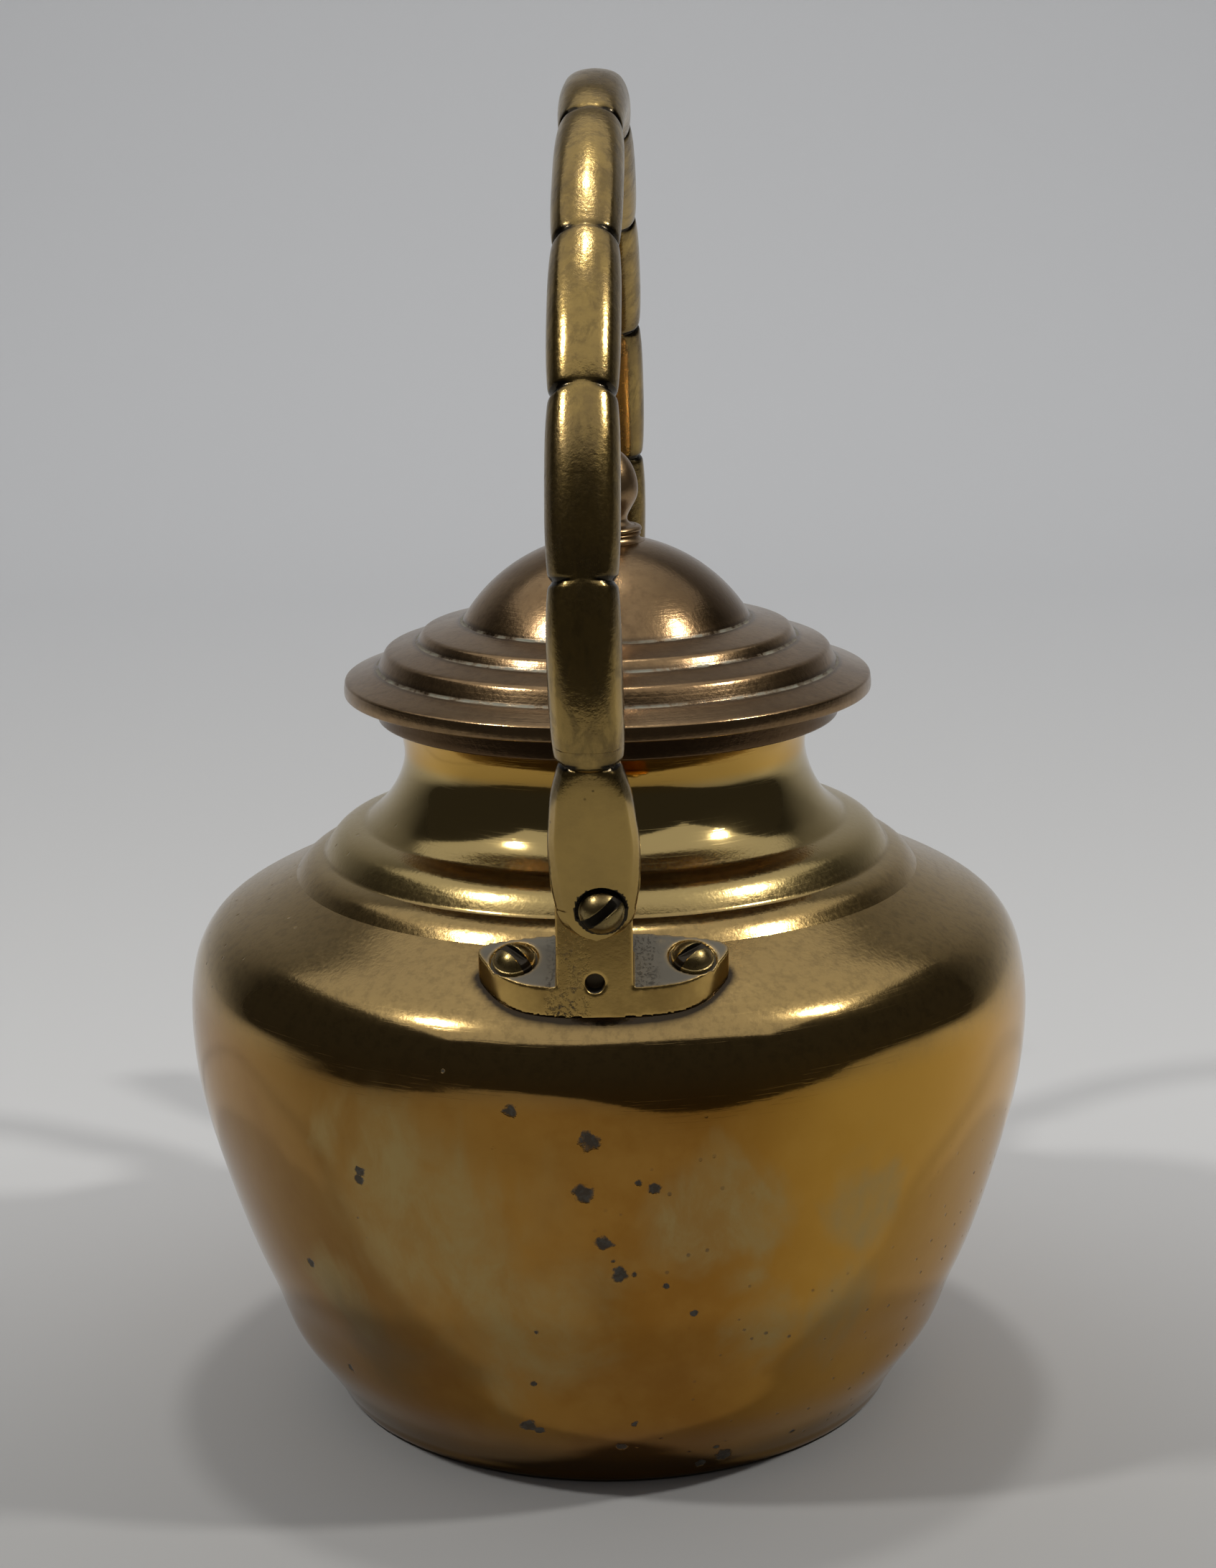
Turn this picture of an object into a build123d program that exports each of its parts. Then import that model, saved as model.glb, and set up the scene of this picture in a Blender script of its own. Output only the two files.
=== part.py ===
from build123d import *
import math
import os

# Brass teapot with an overhead handle, built as separate pieces. Millimetres, +Z up, the table at z = 0.
# The pot's axis is Z. The handle's arch lies in the Y-Z plane, the spout points to +Y.

os.makedirs("parts", exist_ok=True)

# Sheet and outline of the pot, radius and height of its outside. The wall's points, from the foot up,
# give how far they are set in from the widest radius, and their height
SHEET = 1.3
FLOOR_SHEET = 1.4
BASE_R = 53.2
SEAT_R = BASE_R - 7.2
FLOOR_FIT = 0.6
BASE_CORNER = (BASE_R + 2.0, 0.8)
WALL_START = (BASE_R + 3.1, 2.8)
WIDEST = (81.7, 77.0)
WALL = [(25.4, 2.8), (21.1, 9.0), (17.1, 15.0), (13.5, 24.0), (10.9, 30.0), (6.6, 42.0), (3.4, 54.0),
        (0.9, 66.0)]
ROLL = [(81.4, 84.0), (79.9, 90.0), (76.5, 95.5), (71.8, 98.9), (66.0, 101.8)]
NECK_R = 38.8
NECK_SPREAD = 21.4
STEP_3 = (60.2, 104.7)
NECK_RATIO = (STEP_3[0] - NECK_R) / NECK_SPREAD
BULGE_2 = (NECK_R + 19.1 * NECK_RATIO, 107.2)
STEP_2 = (NECK_R + 15.8 * NECK_RATIO, 108.7)
BULGE_1 = (NECK_R + 12.8 * NECK_RATIO, 112.6)
STEP_1 = (NECK_R + 7.8 * NECK_RATIO, 114.5)
NECK = [(NECK_R + 4.5 * NECK_RATIO, 117.4), (NECK_R + 2.2 * NECK_RATIO, 120.6),
        (NECK_R + 0.6 * NECK_RATIO, 124.4), (NECK_R, 128.0), (NECK_R + 0.3 * NECK_RATIO, 131.4)]
MOUTH = (NECK_R + 1.4 * NECK_RATIO, 134.6)

# Lid, stepped outline from the low ring up to the dome
LID_GAP = 0.1
LOW_RING_R = 44.3
RIM_R = 50.5
RIM_BOTTOM = 139.5
RIM_TOP = 142.3
RISER_B_FOOT = (44.0, 144.4)
RISER_B_HEAD = (42.4, 147.6)
RISER_A_FOOT = (36.3, 149.3)
RISER_A_HEAD = (35.1, 151.2)
DOME_FOOT = (27.6, 152.9)
DOME_R = 32.1
LID_WALL = 2.2
SKIRT_CLEARANCE = 0.9
SKIRT_R = NECK_R - SHEET - SKIRT_CLEARANCE
SKIRT_WALL = 1.2
SKIRT_BOTTOM = 126.5
SKIRT_TOP = 140.5

# Finial, turned in one piece with its stud. Rises are heights above the dome's top
EGG_HEIGHT = 8.2
EGG_R = 6.4
EGG_RISE = 8.79
FINIAL_NECK_R = 4.3
FINIAL_NECK_RISE = 2.99
COLLAR_R = 7.0
COLLAR_H = 2.1
FOOT_R = 7.7
FOOT_DROP = 2.4
STUD_R = 2.5
STUD_LENGTH = 10.0
STUD_NUT_R = 4.6
STUD_NUT_H = 3.2
STUD_WASHER_R = 6.0
STUD_WASHER_H = 1.0
WASHER_GAP = 0.62

# Handle: arc lengths between its notches and the strand's direction at them, in degrees above level
PIVOT_Z = 117.3
END_LENGTH = 26.9
SEGMENT_LENGTHS = [30.1, 31.2, 31.0, 33.8]
CROWN_LENGTH = 46.2
NOTCH_ANGLES = (99.0, 101.0, 79.1, 58.0, 39.7, 26.6, 0.0)
STRAND_W = 12.7
STRAND_T = 10.8
NOTCH_W = 10.4
NOTCH_T = 8.4
END_W = 15.2
END_TIP_R = 5.6
TIP_FRONT = 80.9
TIP_SLOPE = 20.0
TIP_SLOPE_AT = 79.6
LEAF_BACK = 18.0

# Brackets, seen from the front one: an upright T on a boat-shaped plate that follows the shoulder
PLATE_HALF = 22.0
PLATE_NOSE = 75.0
PLATE_DEPTH = 12.6
PLATE_EDGE = [(0.0, 0.0), (0.227, 0.017), (0.41, 0.058), (0.61, 0.15), (0.75, 0.28), (0.845, 0.43),
              (0.92, 0.61), (0.975, 0.78), (0.99, 0.885), (0.955, 0.965), (0.88, 1.0)]
PLATE_T = 4.4
POST_W = 13.2
POST_T = 8.0
POST_SHIFT = -1.4
BRACKET_HOLE_R = 1.7
BRACKET_HOLE_DEPTH = 2.5
BRACKET_HOLE_Z = 103.1
JOINT_GAP = 0.1

# Slotted round-head screws
PIVOT_SCREW_R = 2.1
PIVOT_HOLE_GAP = 0.08
PIVOT_HEAD_R = 3.9
PIVOT_HEAD_H = 3.4
POCKET_R = 4.45
POCKET_DEPTH = 1.9
PLATE_SCREW_R = 1.8
PLATE_HEAD_R = 3.8
PLATE_HEAD_H = 3.0
PLATE_SCREW_X = 15.0
PLATE_SCREW_Y = 65.2
PLATE_SCREW_TILT = 27.0
PLATE_SCREW_LENGTH = 9.0
SPOT_FACE_GAP = 0.5
SCREW_SEAT = 3.75
NUT_GAP = 0.35
NUT_R = 4.0
NUT_H = 2.4
SLOT_W = 1.7
SLOT_DEPTH = 1.4

# Spout: centre line in the Y-Z plane with its outside radius at each station
SPOUT_WALL = 1.4
SPOUT = [(66.0, 50.0, 17.0), (80.0, 56.0, 15.2), (92.0, 66.5, 12.4), (101.0, 80.5, 10.4),
         (107.5, 96.0, 8.9), (113.5, 110.0, 7.9), (120.5, 121.0, 7.4), (126.5, 127.5, 7.6)]
STRAINER_HOLE_R = 2.0
STRAINER_PITCH = 5.8
STRAINER_R = 8.0
STRAINER_Z = 53.0


def spun(points):
    """A smooth curve in the X-Z plane through radius and height pairs."""
    return Spline(*[(r, 0, z) for r, z in points])


def inset(edge, distance, count=12):
    """The same curve set in from the outside by the sheet's thickness."""
    points = []
    for i in range(count + 1):
        p, d = edge @ (i / count), edge % (i / count)
        points.append((p.X - d.Z * distance, 0, p.Z + d.X * distance))
    return Spline(*points)


def closed(edges):
    """Joins the ends of the edges, in order, with straight lines and returns the flat face."""
    chain = []
    for edge, after in zip(edges, edges[1:] + edges[:1]):
        chain.append(edge)
        if (edge @ 1 - after @ 0).length > 1e-4:
            chain.append(Line(edge @ 1, after @ 0))
    return make_face(chain)


def turned(edges):
    return revolve(closed(edges), Axis.Z)


def save(solid, node):
    export_step(solid, f"parts/{node}.step")


def group(solids):
    return Compound(children=[s.solid() if hasattr(s, "solid") else s for s in solids])


# The pot's outside, from the base corner up to the mouth
flare = (WIDEST[0] - WALL_START[0]) / WALL[0][0]
wall = spun([WALL_START, *[(WIDEST[0] - set_in * flare, z) for set_in, z in WALL[1:]], WIDEST, *ROLL, STEP_3])
outside = [
    Spline((BASE_R, 0, 0), (BASE_CORNER[0], 0, BASE_CORNER[1]), (WALL_START[0], 0, WALL_START[1]),
           tangents=[(1, 0, 0), wall % 0]),
    wall,
    spun([STEP_3, BULGE_2, STEP_2]),
    spun([STEP_2, BULGE_1, STEP_1]),
    spun([STEP_1, *NECK, MOUTH]),
]
inside = [inset(edge, SHEET) for edge in outside]


def backwards(edge, count=12):
    return Spline(*[edge @ (1 - i / count) for i in range(count + 1)])


# Solid envelope of the pot, used to fit the bracket plates and the spout to its outside
envelope = turned([Line((0, 0, 0), (BASE_R, 0, 0)), *outside,
                   Line((MOUTH[0], 0, MOUTH[1]), (0, 0, MOUTH[1]))])

# The sheet turns in at the bottom to a narrow flat ring that the pot stands on, and ends at the
# shoulder's uppermost step. It is raised in two halves, a bowl and a shoulder, brazed at the widest line
shell = turned([
    Line((SEAT_R, 0, 0), (BASE_R, 0, 0)), *outside[:2],
    *[backwards(edge) for edge in reversed(inside[:2])],
    Line(inside[0] @ 0, (SEAT_R, 0, SHEET)),
])

# The neck with its two swelling rings is turned on its own and brazed to the shell along that step
neck = turned([*outside[2:], *[backwards(edge) for edge in reversed(inside[2:])],
               Line(inside[2] @ 0, inside[1] @ 1)])
neck -= Pos(0, 0, MOUTH[1] + SHEET * 2) * Cylinder(MOUTH[0] + SHEET * 4, SHEET * 4)


def shoulder_height(r):
    """Height of the pot's outside at a radius of the shoulder."""
    curve = outside[1]
    low, high = 0.5, 1.0
    for _ in range(40):
        mid = (low + high) / 2
        if (curve @ mid).X > r:
            low = mid
        else:
            high = mid
    return (curve @ low).Z


# Round-head screw along +Z, the head's seat at z = 0, the slot cut across the dome
def round_head_screw(shank_r, length, head_r, head_h, slot_angle):
    dome_r = (head_r ** 2 + head_h ** 2) / (2 * head_h)
    head = Pos(0, 0, head_h - dome_r) * Sphere(dome_r)
    head &= Pos(0, 0, head_h / 2 + 0.25) * Cylinder(head_r, head_h - 0.5 + 0.5)
    head += Pos(0, 0, 0.4) * Cylinder(head_r, 0.8)
    slot = Pos(0, 0, head_h) * Rot(0, 0, slot_angle) * Box(4 * head_r, SLOT_W, 2 * SLOT_DEPTH)
    shank = Pos(0, 0, -length / 2) * Cylinder(shank_r, length)
    return head - slot + shank


def hex_nut(bore_r, across_r, height):
    body = extrude(RegularPolygon(across_r, 6), height)
    body &= Cylinder(across_r * 0.96, height * 4)
    return body - Cylinder(bore_r, height * 4)


# Bracket at the rear, -Y side. The spout's side has the same one, turned half way round.
def plate_outline():
    """Full round tips, a nose that bulges to the outside and a straight edge towards the neck."""
    right = [(PLATE_HALF * u, -PLATE_NOSE + PLATE_DEPTH * v) for u, v in PLATE_EDGE]
    left = [(-x, y) for x, y in right[:0:-1]]
    rim = Spline(*left, *right)
    return make_face([rim, Line(rim @ 1, rim @ 0)])


def shoulder_layer(thickness):
    """The room between the pot's outside and the same shoulder raised by a thickness."""
    raised = outside[1]
    points = []
    for i in range(17):
        u = 0.55 + 0.45 * i / 16
        p, d = raised @ u, raised % u
        points.append((p.X + d.Z * thickness, 0, p.Z - d.X * thickness))
    top = Spline(*points)
    low, far, near = ROLL[0][1], WIDEST[0] + PLATE_T, STEP_1[0]
    face = closed([Line(top @ 0, (far, 0, low)), Line((far, 0, low), (near, 0, low)),
                   Line((near, 0, low), (near, 0, points[-1][2])), backwards(top, 16)])
    return revolve(face, Axis.Z)


def screw_place(side):
    """Location of a plate screw's seat, with +Z out of the shoulder and +X along it."""
    x = side * PLATE_SCREW_X
    r = math.hypot(PLATE_SCREW_X, PLATE_SCREW_Y)
    z = shoulder_height(r)
    tilt = math.radians(PLATE_SCREW_TILT)
    out = Vector(x / r * math.sin(tilt), -PLATE_SCREW_Y / r * math.sin(tilt), math.cos(tilt))
    seat = Vector(x, -PLATE_SCREW_Y, z) + out * SCREW_SEAT
    return Plane(origin=seat, x_dir=(PLATE_SCREW_Y / r, x / r, 0), z_dir=out)


# The post's front and the plate's edge are one surface, so both are cut from the same upright prism
prism = extrude(Pos(0, 0, WIDEST[1]) * plate_outline(), PIVOT_Z + POST_W - WIDEST[1])
nose_y = -PLATE_NOSE
post_y = nose_y + POST_T / 2
post_foot = ROLL[1][1]
post = Pos(POST_SHIFT, post_y - 1, (post_foot + PIVOT_Z) / 2) * Box(POST_W, POST_T + 2, PIVOT_Z - post_foot)
post += Pos(POST_SHIFT, post_y - 1, PIVOT_Z) * Rot(90, 0, 0) * Cylinder(POST_W / 2, POST_T + 2)
bracket = (prism & (shoulder_layer(PLATE_T) + post)) - envelope
bracket -= Pos(POST_SHIFT, nose_y, BRACKET_HOLE_Z) * Rot(90, 0, 0) * Cylinder(BRACKET_HOLE_R, BRACKET_HOLE_DEPTH * 2)
bracket -= Pos(0, post_y, PIVOT_Z) * Rot(90, 0, 0) * Cylinder(PIVOT_SCREW_R, POST_T * 2)
pivot_bores, plate_bores, plate_screws, plate_nuts = [], [], [], []
for side, slot_angle in ((-1, -36), (1, 29)):
    seat = screw_place(side)
    bracket -= seat * Pos(0, 0, PLATE_HEAD_H * 2) * Cylinder(PLATE_HEAD_R + SPOT_FACE_GAP, PLATE_HEAD_H * 4)
    bracket -= seat * Cylinder(PLATE_SCREW_R, PLATE_SCREW_LENGTH * 3)
    plate_bores.append(seat * Cylinder(PLATE_SCREW_R, PLATE_SCREW_LENGTH * 3))
    plate_screws.append(seat * round_head_screw(PLATE_SCREW_R, PLATE_SCREW_LENGTH, PLATE_HEAD_R,
                                                PLATE_HEAD_H, slot_angle))
    nut_z = -(SCREW_SEAT + SHEET + NUT_GAP + NUT_H)
    plate_nuts.append(seat * Pos(0, 0, nut_z) * hex_nut(PLATE_SCREW_R, NUT_R, NUT_H))

# Handle: the strand's centre line, worked out by turning its direction evenly between the notches
lengths = [END_LENGTH] + SEGMENT_LENGTHS + [CROWN_LENGTH / 2]
stations = [sum(lengths[:i]) for i in range(len(lengths) + 1)]


def direction(s):
    for i, (a, b) in enumerate(zip(stations, stations[1:])):
        if s <= b + 1e-9:
            part = (s - a) / (b - a)
            return math.radians(NOTCH_ANGLES[i] * (1 - part) + NOTCH_ANGLES[i + 1] * part)
    return 0.0


STEPS = 1680
line = [(0.0, PIVOT_Z)]
step = stations[-1] / STEPS
for k in range(STEPS):
    a = direction((k + 0.5) * step)
    line.append((line[-1][0] + math.cos(a) * step, line[-1][1] + math.sin(a) * step))
reach = line[-1][0]
PIVOT_Y = -reach


def centre(s):
    """Point of the centre line and the strand's direction, at an arc length from the rear pivot."""
    half = stations[-1]
    far = s > half
    t = min(max(2 * half - s if far else s, 0.0), half) / step
    k = min(int(t), STEPS - 1)
    y = line[k][0] + (line[k + 1][0] - line[k][0]) * (t - k) - reach
    z = line[k][1] + (line[k + 1][1] - line[k][1]) * (t - k)
    a = direction(2 * half - s if far else s)
    return (-y, z, -a) if far else (y, z, a)


def section(s, width, thickness):
    y, z, a = centre(s)
    plane = Plane(origin=(0, y, z), x_dir=(1, 0, 0), z_dir=(0, math.cos(a), math.sin(a)))
    return plane * RectangleRounded(width, thickness, min(width, thickness) * 0.42)


def bead(s0, s1, w0=NOTCH_W, w1=NOTCH_W, wide=STRAND_W, thick=STRAND_T):
    """One bulging length of the strand between two notches."""
    shape = [(0.0, w0, NOTCH_T), (0.11, wide - 1.0, thick - 0.9), (0.32, wide - 0.15, thick - 0.1),
             (0.68, wide - 0.15, thick - 0.1), (0.89, wide - 1.0, thick - 0.9), (1.0, w1, NOTCH_T)]
    return loft([section(s0 + (s1 - s0) * u, w, t) for u, w, t in shape])


def end_piece():
    """The leaf-shaped end that swells below the lowest notch and closes round the pivot."""
    s1 = END_LENGTH
    shape = [(0.0, 12.2, 8.0), (0.2, 13.4, 8.8), (0.45, END_W - 0.2, 9.8), (0.7, END_W - 0.2, 10.4),
             (0.9, STRAND_W - 0.9, 9.6), (1.0, NOTCH_W, NOTCH_T)]
    leaf = loft([section(s1 * u, w, t) for u, w, t in shape])
    tip = Pos(0, -TIP_FRONT + 5.0, PIVOT_Z) * Rot(90, 0, 0) * Cylinder(END_TIP_R, 10.0)
    return leaf + tip


handle = end_piece()
handle += mirror(end_piece(), about=Plane.XZ)
for i in range(1, 5):
    piece = bead(stations[i], stations[i + 1])
    handle += piece
    handle += mirror(piece, about=Plane.XZ)
half = stations[-1]
handle += bead(stations[5], 2 * half - stations[5])
for side in (-1, 1):
    post_face = side * (-nose_y + JOINT_GAP)
    handle -= Pos(0, post_face - side * 10, PIVOT_Z) * Box(40, 20, LEAF_BACK * 2)
    handle -= Pos(0, side * TIP_FRONT, PIVOT_Z) * Rot(90, 0, 0) * Cylinder(POCKET_R, 2 * POCKET_DEPTH)
    handle -= (Pos(0, side * TIP_SLOPE_AT, PIVOT_Z) * Rot(-side * TIP_SLOPE, 0, 0)
               * Pos(0, side * 10, 0) * Box(40, 20, 26))
    handle -= Pos(0, side * 80, PIVOT_Z) * Rot(90, 0, 0) * Cylinder(PIVOT_SCREW_R + PIVOT_HOLE_GAP, 30.0)

# Pivot screws, driven through the handle's ends into the posts
head_seat = TIP_FRONT - POCKET_DEPTH + JOINT_GAP
pivot_length = head_seat - (-nose_y - POST_T)
pivot_screw = (Pos(0, -head_seat, PIVOT_Z) * Rot(90, 0, 0)
               * round_head_screw(PIVOT_SCREW_R, pivot_length, PIVOT_HEAD_R, PIVOT_HEAD_H, 39))
half_turn = Rot(0, 0, 180)

# Spout, fitted to the pot's outside, with the strainer drilled in the pot's wall behind it
def spout_station(i, inset_by):
    y, z, r = SPOUT[i]
    before, after = SPOUT[max(i - 1, 0)], SPOUT[min(i + 1, len(SPOUT) - 1)]
    d = (after[0] - before[0], after[1] - before[1])
    plane = Plane(origin=(0, y, z), x_dir=(1, 0, 0), z_dir=(0, d[0], d[1]))
    return plane * Circle(r - inset_by)


spout_outer = loft([spout_station(i, 0) for i in range(len(SPOUT))])
spout_inner = loft([spout_station(i, SPOUT_WALL) for i in range(len(SPOUT))])
tip_y, tip_z, tip_r = SPOUT[-1]
spout = spout_outer - spout_inner - envelope
strainer = []
for row in range(-2, 3):
    for column in range(-2, 3):
        x = (column + 0.5 * (row % 2)) * STRAINER_PITCH
        z = STRAINER_Z + row * STRAINER_PITCH * 0.87
        if math.hypot(x, z - STRAINER_Z) < STRAINER_R:
            strainer.append(Pos(x, WIDEST[0], z) * Rot(90, 0, 0) * Cylinder(STRAINER_HOLE_R, BASE_R / 2))
for hole in strainer:
    shell -= hole
for bore in plate_bores:
    shell -= bore
    shell -= half_turn * bore

span = WIDEST[0] * 4
above_seam = Pos(0, 0, WIDEST[1] + span / 2) * Box(span, span, span)
shoulder = shell & above_seam
shell -= above_seam

base_disc = Pos(0, 0, SHEET + FLOOR_SHEET / 2) * Cylinder(BASE_R - FLOOR_FIT, FLOOR_SHEET)

# Lid casting
low_bottom = MOUTH[1] + LID_GAP
dome_centre = DOME_FOOT[1] - math.sqrt(DOME_R ** 2 - DOME_FOOT[0] ** 2)
dome_inner_r = DOME_R - LID_WALL
inner_foot_z = DOME_FOOT[1] - LID_WALL
inner_foot_r = math.sqrt(dome_inner_r ** 2 - (inner_foot_z - dome_centre) ** 2)


def arc_point(radius, angle):
    return (radius * math.sin(math.radians(angle)), 0, dome_centre + radius * math.cos(math.radians(angle)))


def at(point):
    return (point[0], 0, point[1])


outer_angle = math.degrees(math.atan2(DOME_FOOT[0], DOME_FOOT[1] - dome_centre))
inner_angle = math.degrees(math.atan2(inner_foot_r, inner_foot_z - dome_centre))
lid_edges = [
    Line((SKIRT_R, 0, low_bottom), (LOW_RING_R - 0.5, 0, low_bottom)),
    Line((LOW_RING_R - 0.5, 0, low_bottom), (LOW_RING_R, 0, low_bottom + 0.5)),
    Line((LOW_RING_R, 0, low_bottom + 0.5), (LOW_RING_R + 0.1, 0, RIM_BOTTOM)),
    Line((LOW_RING_R + 0.1, 0, RIM_BOTTOM), (RIM_R - 0.7, 0, RIM_BOTTOM)),
    ThreePointArc((RIM_R - 0.7, 0, RIM_BOTTOM), (RIM_R - 0.2, 0, RIM_BOTTOM + 0.2),
                  (RIM_R, 0, RIM_BOTTOM + 0.7)),
    Line((RIM_R, 0, RIM_BOTTOM + 0.7), (RIM_R, 0, RIM_TOP - 0.5)),
    ThreePointArc((RIM_R, 0, RIM_TOP - 0.5), (RIM_R - 0.17, 0, RIM_TOP - 0.13), (RIM_R - 0.6, 0, RIM_TOP)),
    Line((RIM_R - 0.6, 0, RIM_TOP), at(RISER_B_FOOT)),
    Line(at(RISER_B_FOOT), (RISER_B_HEAD[0] + 0.3, 0, RISER_B_HEAD[1] - 0.7)),
    ThreePointArc((RISER_B_HEAD[0] + 0.3, 0, RISER_B_HEAD[1] - 0.7),
                  (RISER_B_HEAD[0] + 0.02, 0, RISER_B_HEAD[1] - 0.16),
                  (RISER_B_HEAD[0] - 0.5, 0, RISER_B_HEAD[1])),
    Line((RISER_B_HEAD[0] - 0.5, 0, RISER_B_HEAD[1]), at(RISER_A_FOOT)),
    Line(at(RISER_A_FOOT), (RISER_A_HEAD[0] + 0.2, 0, RISER_A_HEAD[1] - 0.6)),
    ThreePointArc((RISER_A_HEAD[0] + 0.2, 0, RISER_A_HEAD[1] - 0.6),
                  (RISER_A_HEAD[0], 0, RISER_A_HEAD[1] - 0.15),
                  (RISER_A_HEAD[0] - 0.5, 0, RISER_A_HEAD[1])),
    Line((RISER_A_HEAD[0] - 0.5, 0, RISER_A_HEAD[1]), at(DOME_FOOT)),
    ThreePointArc(at(DOME_FOOT), arc_point(DOME_R, outer_angle / 2), (0, 0, dome_centre + DOME_R)),
    Line((0, 0, dome_centre + DOME_R), (0, 0, dome_centre + dome_inner_r)),
    ThreePointArc((0, 0, dome_centre + dome_inner_r), arc_point(dome_inner_r, inner_angle / 2),
                  (inner_foot_r, 0, inner_foot_z)),
    Line((inner_foot_r, 0, inner_foot_z), (SKIRT_R - 2.0, 0, SKIRT_TOP + 3.0)),
    Line((SKIRT_R - 2.0, 0, SKIRT_TOP + 3.0), (SKIRT_R - 2.0, 0, SKIRT_TOP)),
    Line((SKIRT_R - 2.0, 0, SKIRT_TOP), (SKIRT_R, 0, SKIRT_TOP)),
    Line((SKIRT_R, 0, SKIRT_TOP), (SKIRT_R, 0, low_bottom)),
]
lid = turned(lid_edges) - Pos(0, 0, dome_centre + DOME_R) * Cylinder(STUD_R, LID_WALL * 8)
lid_envelope = Pos(0, 0, dome_centre) * Sphere(DOME_R)
skirt_h = SKIRT_TOP - SKIRT_BOTTOM
skirt = (Pos(0, 0, (SKIRT_BOTTOM + SKIRT_TOP) / 2) * Cylinder(SKIRT_R, skirt_h)
         - Pos(0, 0, SKIRT_TOP) * Cylinder(SKIRT_R - SKIRT_WALL, skirt_h * 4))

# Finial on the dome, its stud passing through to a washer and nut inside the lid
dome_top = dome_centre + DOME_R
egg_z = dome_top + EGG_RISE
neck_z = dome_top + FINIAL_NECK_RISE
collar_top = dome_top + COLLAR_H
egg = [(EGG_R * math.cos(math.radians(a)), 0, egg_z + EGG_HEIGHT * math.sin(math.radians(a)))
       for a in range(0, 90, 10)] + [(0, 0, egg_z + EGG_HEIGHT)]
finial_edges = [
    Line((0, 0, dome_top - FOOT_DROP), (FOOT_R, 0, dome_top - FOOT_DROP)),
    Line((FOOT_R, 0, dome_top - FOOT_DROP), (FOOT_R * 0.987, 0, dome_top - FOOT_DROP * 0.375)),
    Spline((FOOT_R * 0.987, 0, dome_top - FOOT_DROP * 0.375), (COLLAR_R * 0.957, 0, dome_top - COLLAR_H / 6),
           (COLLAR_R * 0.929, 0, dome_top + COLLAR_H * 0.048)),
    ThreePointArc((COLLAR_R * 0.929, 0, dome_top + COLLAR_H * 0.048),
                  (COLLAR_R * 0.979, 0, dome_top + COLLAR_H * 0.214),
                  (COLLAR_R * 0.929, 0, dome_top + COLLAR_H * 0.381)),
    ThreePointArc((COLLAR_R * 0.929, 0, dome_top + COLLAR_H * 0.381),
                  (COLLAR_R, 0, dome_top + COLLAR_H * 0.667),
                  (COLLAR_R * 0.914, 0, dome_top + COLLAR_H * 0.952)),
    Line((COLLAR_R * 0.914, 0, dome_top + COLLAR_H * 0.952), (FINIAL_NECK_R * 1.21, 0, collar_top)),
    Spline((FINIAL_NECK_R * 1.21, 0, collar_top), (FINIAL_NECK_R, 0, neck_z),
           (EGG_R * 0.734, 0, egg_z - EGG_HEIGHT * 0.512), (EGG_R * 0.875, 0, egg_z - EGG_HEIGHT * 0.317),
           (EGG_R * 0.969, 0, egg_z - EGG_HEIGHT * 0.159), *egg),
]
finial = turned(finial_edges) - lid_envelope
washer_top = dome_centre + dome_inner_r - WASHER_GAP
finial += Pos(0, 0, dome_top + COLLAR_H / 2 - STUD_LENGTH / 2) * Cylinder(STUD_R, STUD_LENGTH)
washer = (Pos(0, 0, washer_top - STUD_WASHER_H / 2) * Cylinder(STUD_WASHER_R, STUD_WASHER_H)
          - Pos(0, 0, washer_top) * Cylinder(STUD_R, STUD_WASHER_H * 8))
stud_nut = Pos(0, 0, washer_top - STUD_WASHER_H - STUD_NUT_H) * hex_nut(STUD_R, STUD_NUT_R, STUD_NUT_H)

save(shell, "pot_shell")
save(shoulder, "pot_shoulder")
save(neck, "neck_ring")
save(base_disc, "base_disc")
save(spout, "spout")
save(bracket, "rear_bracket")
save(half_turn * bracket, "front_bracket")
save(group(plate_screws), "rear_bracket_screws")
save(group([half_turn * s for s in plate_screws]), "front_bracket_screws")
save(group(plate_nuts), "rear_bracket_nuts")
save(group([half_turn * n for n in plate_nuts]), "front_bracket_nuts")
save(pivot_screw, "rear_pivot_screw")
save(half_turn * pivot_screw, "front_pivot_screw")
save(handle, "handle")
save(lid, "lid_casting")
save(skirt, "lid_skirt")
save(finial, "finial")
save(washer, "finial_washer")
save(stud_nut, "finial_nut")
print("pivot y", round(PIVOT_Y, 2), "nose y", round(nose_y, 2), "dome top", round(dome_top, 2))
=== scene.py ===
# %% [markdown]
# # A brass teapot with an overhead handle
# The object is a squat brass pot with a stepped lid and a cast handle that arches over it. The packed
# CAD model already holds every piece at its true size. Here the pieces that show get finer surfaces,
# and all of them get a metal finish with the tarnish, pits and rubbed edges of an old pot.

# %% Load the model
import math

import bmesh
import bpy
import numpy as np
from mathutils import Matrix, Vector


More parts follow.
